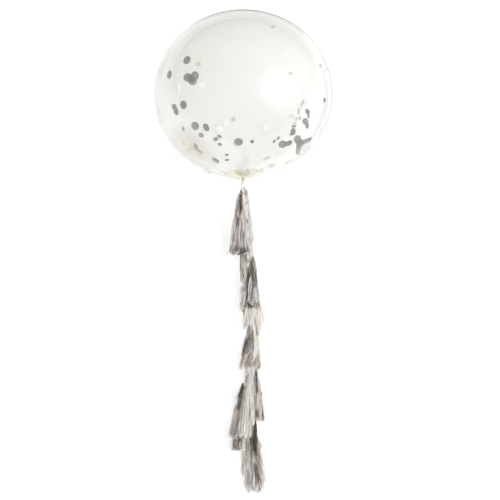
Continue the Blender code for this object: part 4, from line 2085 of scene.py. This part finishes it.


# Drifts with a tone below 0 are dark strips laid where the skirt lies in shade: painted shade.
TASSELS = (
    Tassel(
        "cream_tassel_5", Paper.CREAM, 1.692, -1, 501,
        tone=0.86,
        head_shade=-0.1,
        hem=((-1.0, 0.42), (-0.5, 0.74), (0.3, 0.94), (1.0, 1.0)),
        drifts=(
            Drift(9, ((-9, 1700, 14), (38, 1700, 22)), ((-8, 1830, 22), (36, 1830, 38)), 0.84, 9),
            Drift(7, ((4, 1800, 34), (34, 1800, 44)), ((16, 1975, 14), (50, 1975, 26)), 0.84, 9),
            Drift(5, ((74, 1795, 18), (88, 1800, 18)), ((92, 1950, 3), (106, 1950, 3)), 0.95, 6, 4),
            Drift(2, ((18, 1780, 52), (28, 1785, 52)), ((24, 1835, 52), (30, 1838, 52)), -0.2, 7, 6),
            Drift(2, ((20, 1862, 48), (24, 1866, 48)), ((32, 1897, 44), (36, 1900, 44)), -0.1, 7, 4),
        ),
    ),
    Tassel(
        "grey_tassel_7", Paper.GREY, 1.655, 1, 107,
        tone=0.95,
        head_shade=-0.55,
        head_reach=0.160,
        hem=((-1.0, 0.94), (0.0, 1.0), (0.5, 0.98), (1.0, 0.86)),
        folds=(ShadePatch(0.45, 0.35, 0.85, -0.25, 0.18), ShadePatch(-0.3, 0.5, 0.8, -0.15, 0.15)),
        drifts=(
            Drift(5, ((44, 1645, 30), (54, 1642, 30)), ((26, 1790, 40), (58, 1790, 42)), 0.55, 9),
            Drift(6, ((58, 1616, 34), (63, 1616, 34)), ((54, 1800, 50), (70, 1800, 46)), -0.1, 9, 2),
            Drift(3, ((33, 1706, 46), (46, 1706, 46)), ((36, 1752, 46), (50, 1756, 46)), 0.0, 7, 1),
            Drift(2, ((66, 1700, 34), (70, 1702, 34)), ((90, 1752, 20), (95, 1758, 20)), 0.3, 5),
            Drift(5, ((62, 1690, 34), (72, 1690, 34)), ((72, 1850, 26), (90, 1850, 20)), 0.72, 8),
            Drift(3, ((54, 1828, 46), (62, 1828, 46)), ((66, 1955, 30), (78, 1955, 30)), 0.15, 7),
        ),
    ),
    Tassel(
        "grey_tassel_6", Paper.GREY, 1.475, -1, 106,
        tone=0.62,
        folds=(ShadePatch(0.6, 0.72, 0.86, -0.45, 0.3), ShadePatch(-0.8, 0.8, 1.0, -0.25, 0.3)),
    ),
    Tassel(
        "grey_tassel_5", Paper.GREY, 1.422, -1, 105,
        tone=0.88,
        head_shade=-0.65,
        head_reach=0.130,
        folds=(ShadePatch(0.2, 0.1, 0.48, -0.55, 0.45), ShadePatch(-0.9, 0.35, 1.0, 0.36, 0.4)),
        drifts=(
            Drift(7, ((-2, 1436, 46), (4, 1434, 46)), ((-38, 1530, 44), (6, 1540, 60)), 0.46, 9),
            Drift(3, ((-4, 1440, 54), (2, 1438, 54)), ((-26, 1520, 52), (-2, 1530, 64)), -0.1, 6, 5),
            Drift(5, ((-24, 1490, 40), (0, 1490, 54)), ((-38, 1580, 34), (-6, 1580, 46)), 0.35, 8),
            Drift(2, ((0, 1452, 50), (2, 1454, 50)), ((12, 1484, 50), (16, 1484, 50)), 0.05, 5, 5),
            Drift(4, ((-40, 1520, 16), (-20, 1520, 22)), ((-62, 1700, 4), (-40, 1715, 6)), 0.95, 8),
        ),
    ),
    Tassel(
        "cream_tassel_4", Paper.CREAM, 1.375, -1, 504,
        tone=0.74,
        head_shade=-0.05,
        drifts=(
            Drift(12, ((6, 1345, 22), (50, 1355, 22)), ((16, 1510, 40), (54, 1510, 36)), 0.74, 9, 2),
            Drift(13, ((17, 1470, 42), (55, 1460, 36)), ((-16, 1700, 26), (48, 1690, 18)), 0.74, 10),
        ),
    ),
    Tassel(
        "grey_tassel_4", Paper.GREY, 1.330, 1, 104,
        tone=0.90,
        head_shade=-0.25,
        head_reach=0.100,
        folds=(ShadePatch(-0.4, 0.76, 0.96, -0.60, 0.35),),
        drifts=(Drift(4, ((62, 1368, 40), (65, 1368, 40)), ((66, 1490, 44), (71, 1490, 40)), -0.1, 5, 1),),
    ),
    Tassel(
        "grey_tassel_3", Paper.GREY, 1.098, 1, 103,
        tone=0.88,
        head_shade=-0.20,
        head_reach=0.060,
        folds=(ShadePatch(-0.6, 0.26, 0.55, -0.10, 0.40), ShadePatch(0.9, 0.2, 1.0, 0.15, 0.3)),
        drifts=(
            Drift(5, ((27, 1134, 62), (33, 1134, 62)), ((14, 1210, 60), (46, 1210, 60)), 0.62, 9),
            Drift(2, ((28, 1182, 62), (38, 1182, 62)), ((2, 1290, 54), (12, 1300, 54)), 0.0, 7),
            Drift(6, ((12, 1185, 48), (24, 1185, 56)), ((-18, 1368, 22), (14, 1368, 34)), 0.80, 9),
            Drift(2, ((14, 1205, 60), (20, 1205, 60)), ((-8, 1290, 42), (0, 1300, 42)), -0.1, 7, 2),
            Drift(2, ((30, 1182, 62), (38, 1182, 62)), ((46, 1255, 60), (52, 1262, 60)), 0.25, 6),
        ),
    ),
    Tassel(
        "cream_tassel_3", Paper.CREAM, 0.900, -1, 503,
        tone=0.72,
        hem=((-1.0, 0.52), (0.1, 0.60), (0.45, 1.0), (1.0, 1.0)),
        folds=(ShadePatch(-0.9, 0.0, 1.0, 0.25, 0.5),),
        drifts=(
            Drift(9, ((-8, 905, 44), (14, 905, 58)), ((-26, 1050, 30), (12, 1060, 50)), 1.25, 9, 5),
            Drift(6, ((0, 1030, 18), (22, 1030, 30)), ((-2, 1150, 14), (22, 1150, 28)), 0.74, 9, 4),
            Drift(6, ((62, 930, 30), (76, 940, 24)), ((78, 1160, 10), (98, 1130, 6)), 0.62, 7, 4),
            Drift(4, ((80, 1000, 14), (88, 1005, 10)), ((96, 1150, 4), (108, 1120, 4)), 0.60, 7, 4),
            Drift(9, ((10, 1035, 50), (58, 1035, 50)), ((14, 1150, 64), (50, 1150, 64)), 0.62, 8, 4),
            Drift(9, ((16, 1000, 36), (68, 1000, 30)), ((34, 1130, 30), (80, 1140, 16)), 0.70, 9, 4),
            Drift(9, ((50, 1090, 46), (74, 1090, 24)), ((54, 1385, 40), (84, 1390, 8)), 0.72, 9, 3),
        ),
    ),
    Tassel(
        "grey_tassel_2", Paper.GREY, 0.742, 1, 102,
        tone=0.72,
        head_shade=-0.30,
        head_reach=0.190,
        folds=(ShadePatch(-0.45, 0.3, 0.8, -0.30, 0.25), ShadePatch(0.45, 0.25, 0.75, -0.35, 0.22)),
        drifts=(
            Drift(9, ((38, 768, 60), (46, 768, 60)), ((16, 915, 60), (66, 925, 60)), 0.24, 10, 5),
            Drift(3, ((24, 850, 62), (32, 850, 62)), ((10, 960, 60), (26, 960, 60)), 0.05, 8, 2),
            Drift(7, ((56, 930, 58), (68, 935, 54)), ((48, 1055, 44), (80, 1055, 36)), 0.95, 8, 5),
            Drift(2, ((38, 870, 80), (41, 872, 80)), ((14, 1018, 56), (18, 1018, 56)), 0.95, 5, 6),
            Drift(2, ((34, 900, 66), (40, 900, 66)), ((28, 990, 60), (34, 990, 60)), 0.2, 6, 2),
            Drift(5, ((14, 1016, 68), (24, 1026, 68)), ((40, 1038, 68), (50, 1052, 68)), -0.2, 9, 1),
            Drift(4, ((44, 758, 64), (48, 758, 64)), ((42, 870, 64), (70, 870, 62)), 0.38, 9, 2, 3),
        ),
    ),
    Tassel(
        "cream_tassel_2", Paper.CREAM, 0.600, -1, 502,
        tone=0.68,
        hem=((-1.0, 1.0), (-0.15, 0.96), (0.15, 0.62), (1.0, 0.52)),
        drifts=(Drift(8, ((8, 600, 78), (44, 640, 66)), ((26, 800, 62), (60, 790, 62)), 0.64, 9, 3),),
    ),
    Tassel(
        "cream_tassel_1", Paper.CREAM, 0.420, 1, 511,
        tone=1.05,
        head_shade=0.0,
        drifts=(
            Drift(5, ((24, 470, 140), (34, 480, 136)), ((40, 770, 24), (58, 772, 20)), 1.0, 6, 4),
            Drift(5, ((3, 428, 163), (7, 428, 163)), ((6, 560, 110), (32, 600, 96)), 1.05, 8, 2, 5),
            Drift(6, ((-6, 425, 167), (-2, 425, 167)), ((0, 560, 118), (16, 580, 112)), 0.95, 9, 1),
        ),
    ),
    Tassel(
        "grey_tassel_1", Paper.GREY, 0.442, -1, 101,
        tone=0.88,
        head_shade=-0.30,
        head_reach=0.070,
        folds=(
            ShadePatch(0.15, 0.00, 0.36, -0.70, 0.28),
            ShadePatch(-0.85, 0.10, 0.82, 0.24, 0.3),
            ShadePatch(-0.35, 0.34, 0.56, -0.55, 0.3),
            ShadePatch(-0.25, 0.60, 0.95, -0.22, 0.14),
            ShadePatch(0.50, 0.60, 0.95, -0.22, 0.14),
            ShadePatch(0.0, 0.86, 1.05, -0.50, 1.5),
        ),
        drifts=(
            Drift(1, ((2, 505, 134), (4, 505, 134)), ((30, 478, 146), (30, 478, 146)), 0.2, 6, 1),
            Drift(2, ((-17, 715, 84), (-14, 715, 84)), ((-17, 868, 72), (-14, 872, 72)), 0.1, 5, 1),
            Drift(7, ((-13, 424, 180), (-10, 424, 180)), ((-17, 560, 162), (-7, 560, 162)), -0.30, 7, 1),
            Drift(6, ((-15, 428, 164), (-11, 428, 164)), ((-62, 640, 56), (-40, 640, 66)), 1.1, 8, 3, -9),
        ),
    ),
)


@dataclass
class Garland:
    """The twelve tassels on the twine."""

    tassels: tuple[Tassel, ...] = TASSELS

    def build(self, tree: NodeTree, path: list[Vector]) -> None:
        """Builds and dresses every tassel in place of its solid.

        Args:
            tree: The strips' geometry tree.
            path: The twine's middle line.
        """
        papers = {Paper.GREY: GREY_PAPER.material(), Paper.CREAM: CREAM_PAPER.material()}
        for tassel in self.tassels:
            made = tassel.build(tree, path, papers[tassel.paper])
            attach(made, "root")
            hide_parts(tassel.node)


def main() -> None:
    """Builds the studio and every piece of the balloon and its garland."""
    balloon = Balloon()
    studio = Studio()
    studio.build(balloon)
    film = balloon.make_film()
    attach(film, "root")
    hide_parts("balloon")
    knot = NeckKnot(balloon).build()
    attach(knot, "root")
    confetti = Confetti().build(disc_tree(), balloon, studio)
    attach(confetti, "root")
    path = Twine().build(rope_tree(), balloon)
    Garland().build(strip_tree(), path)


if __name__ == "__main__":
    logging.basicConfig(level=logging.INFO, format="%(name)s: %(message)s")
    main()
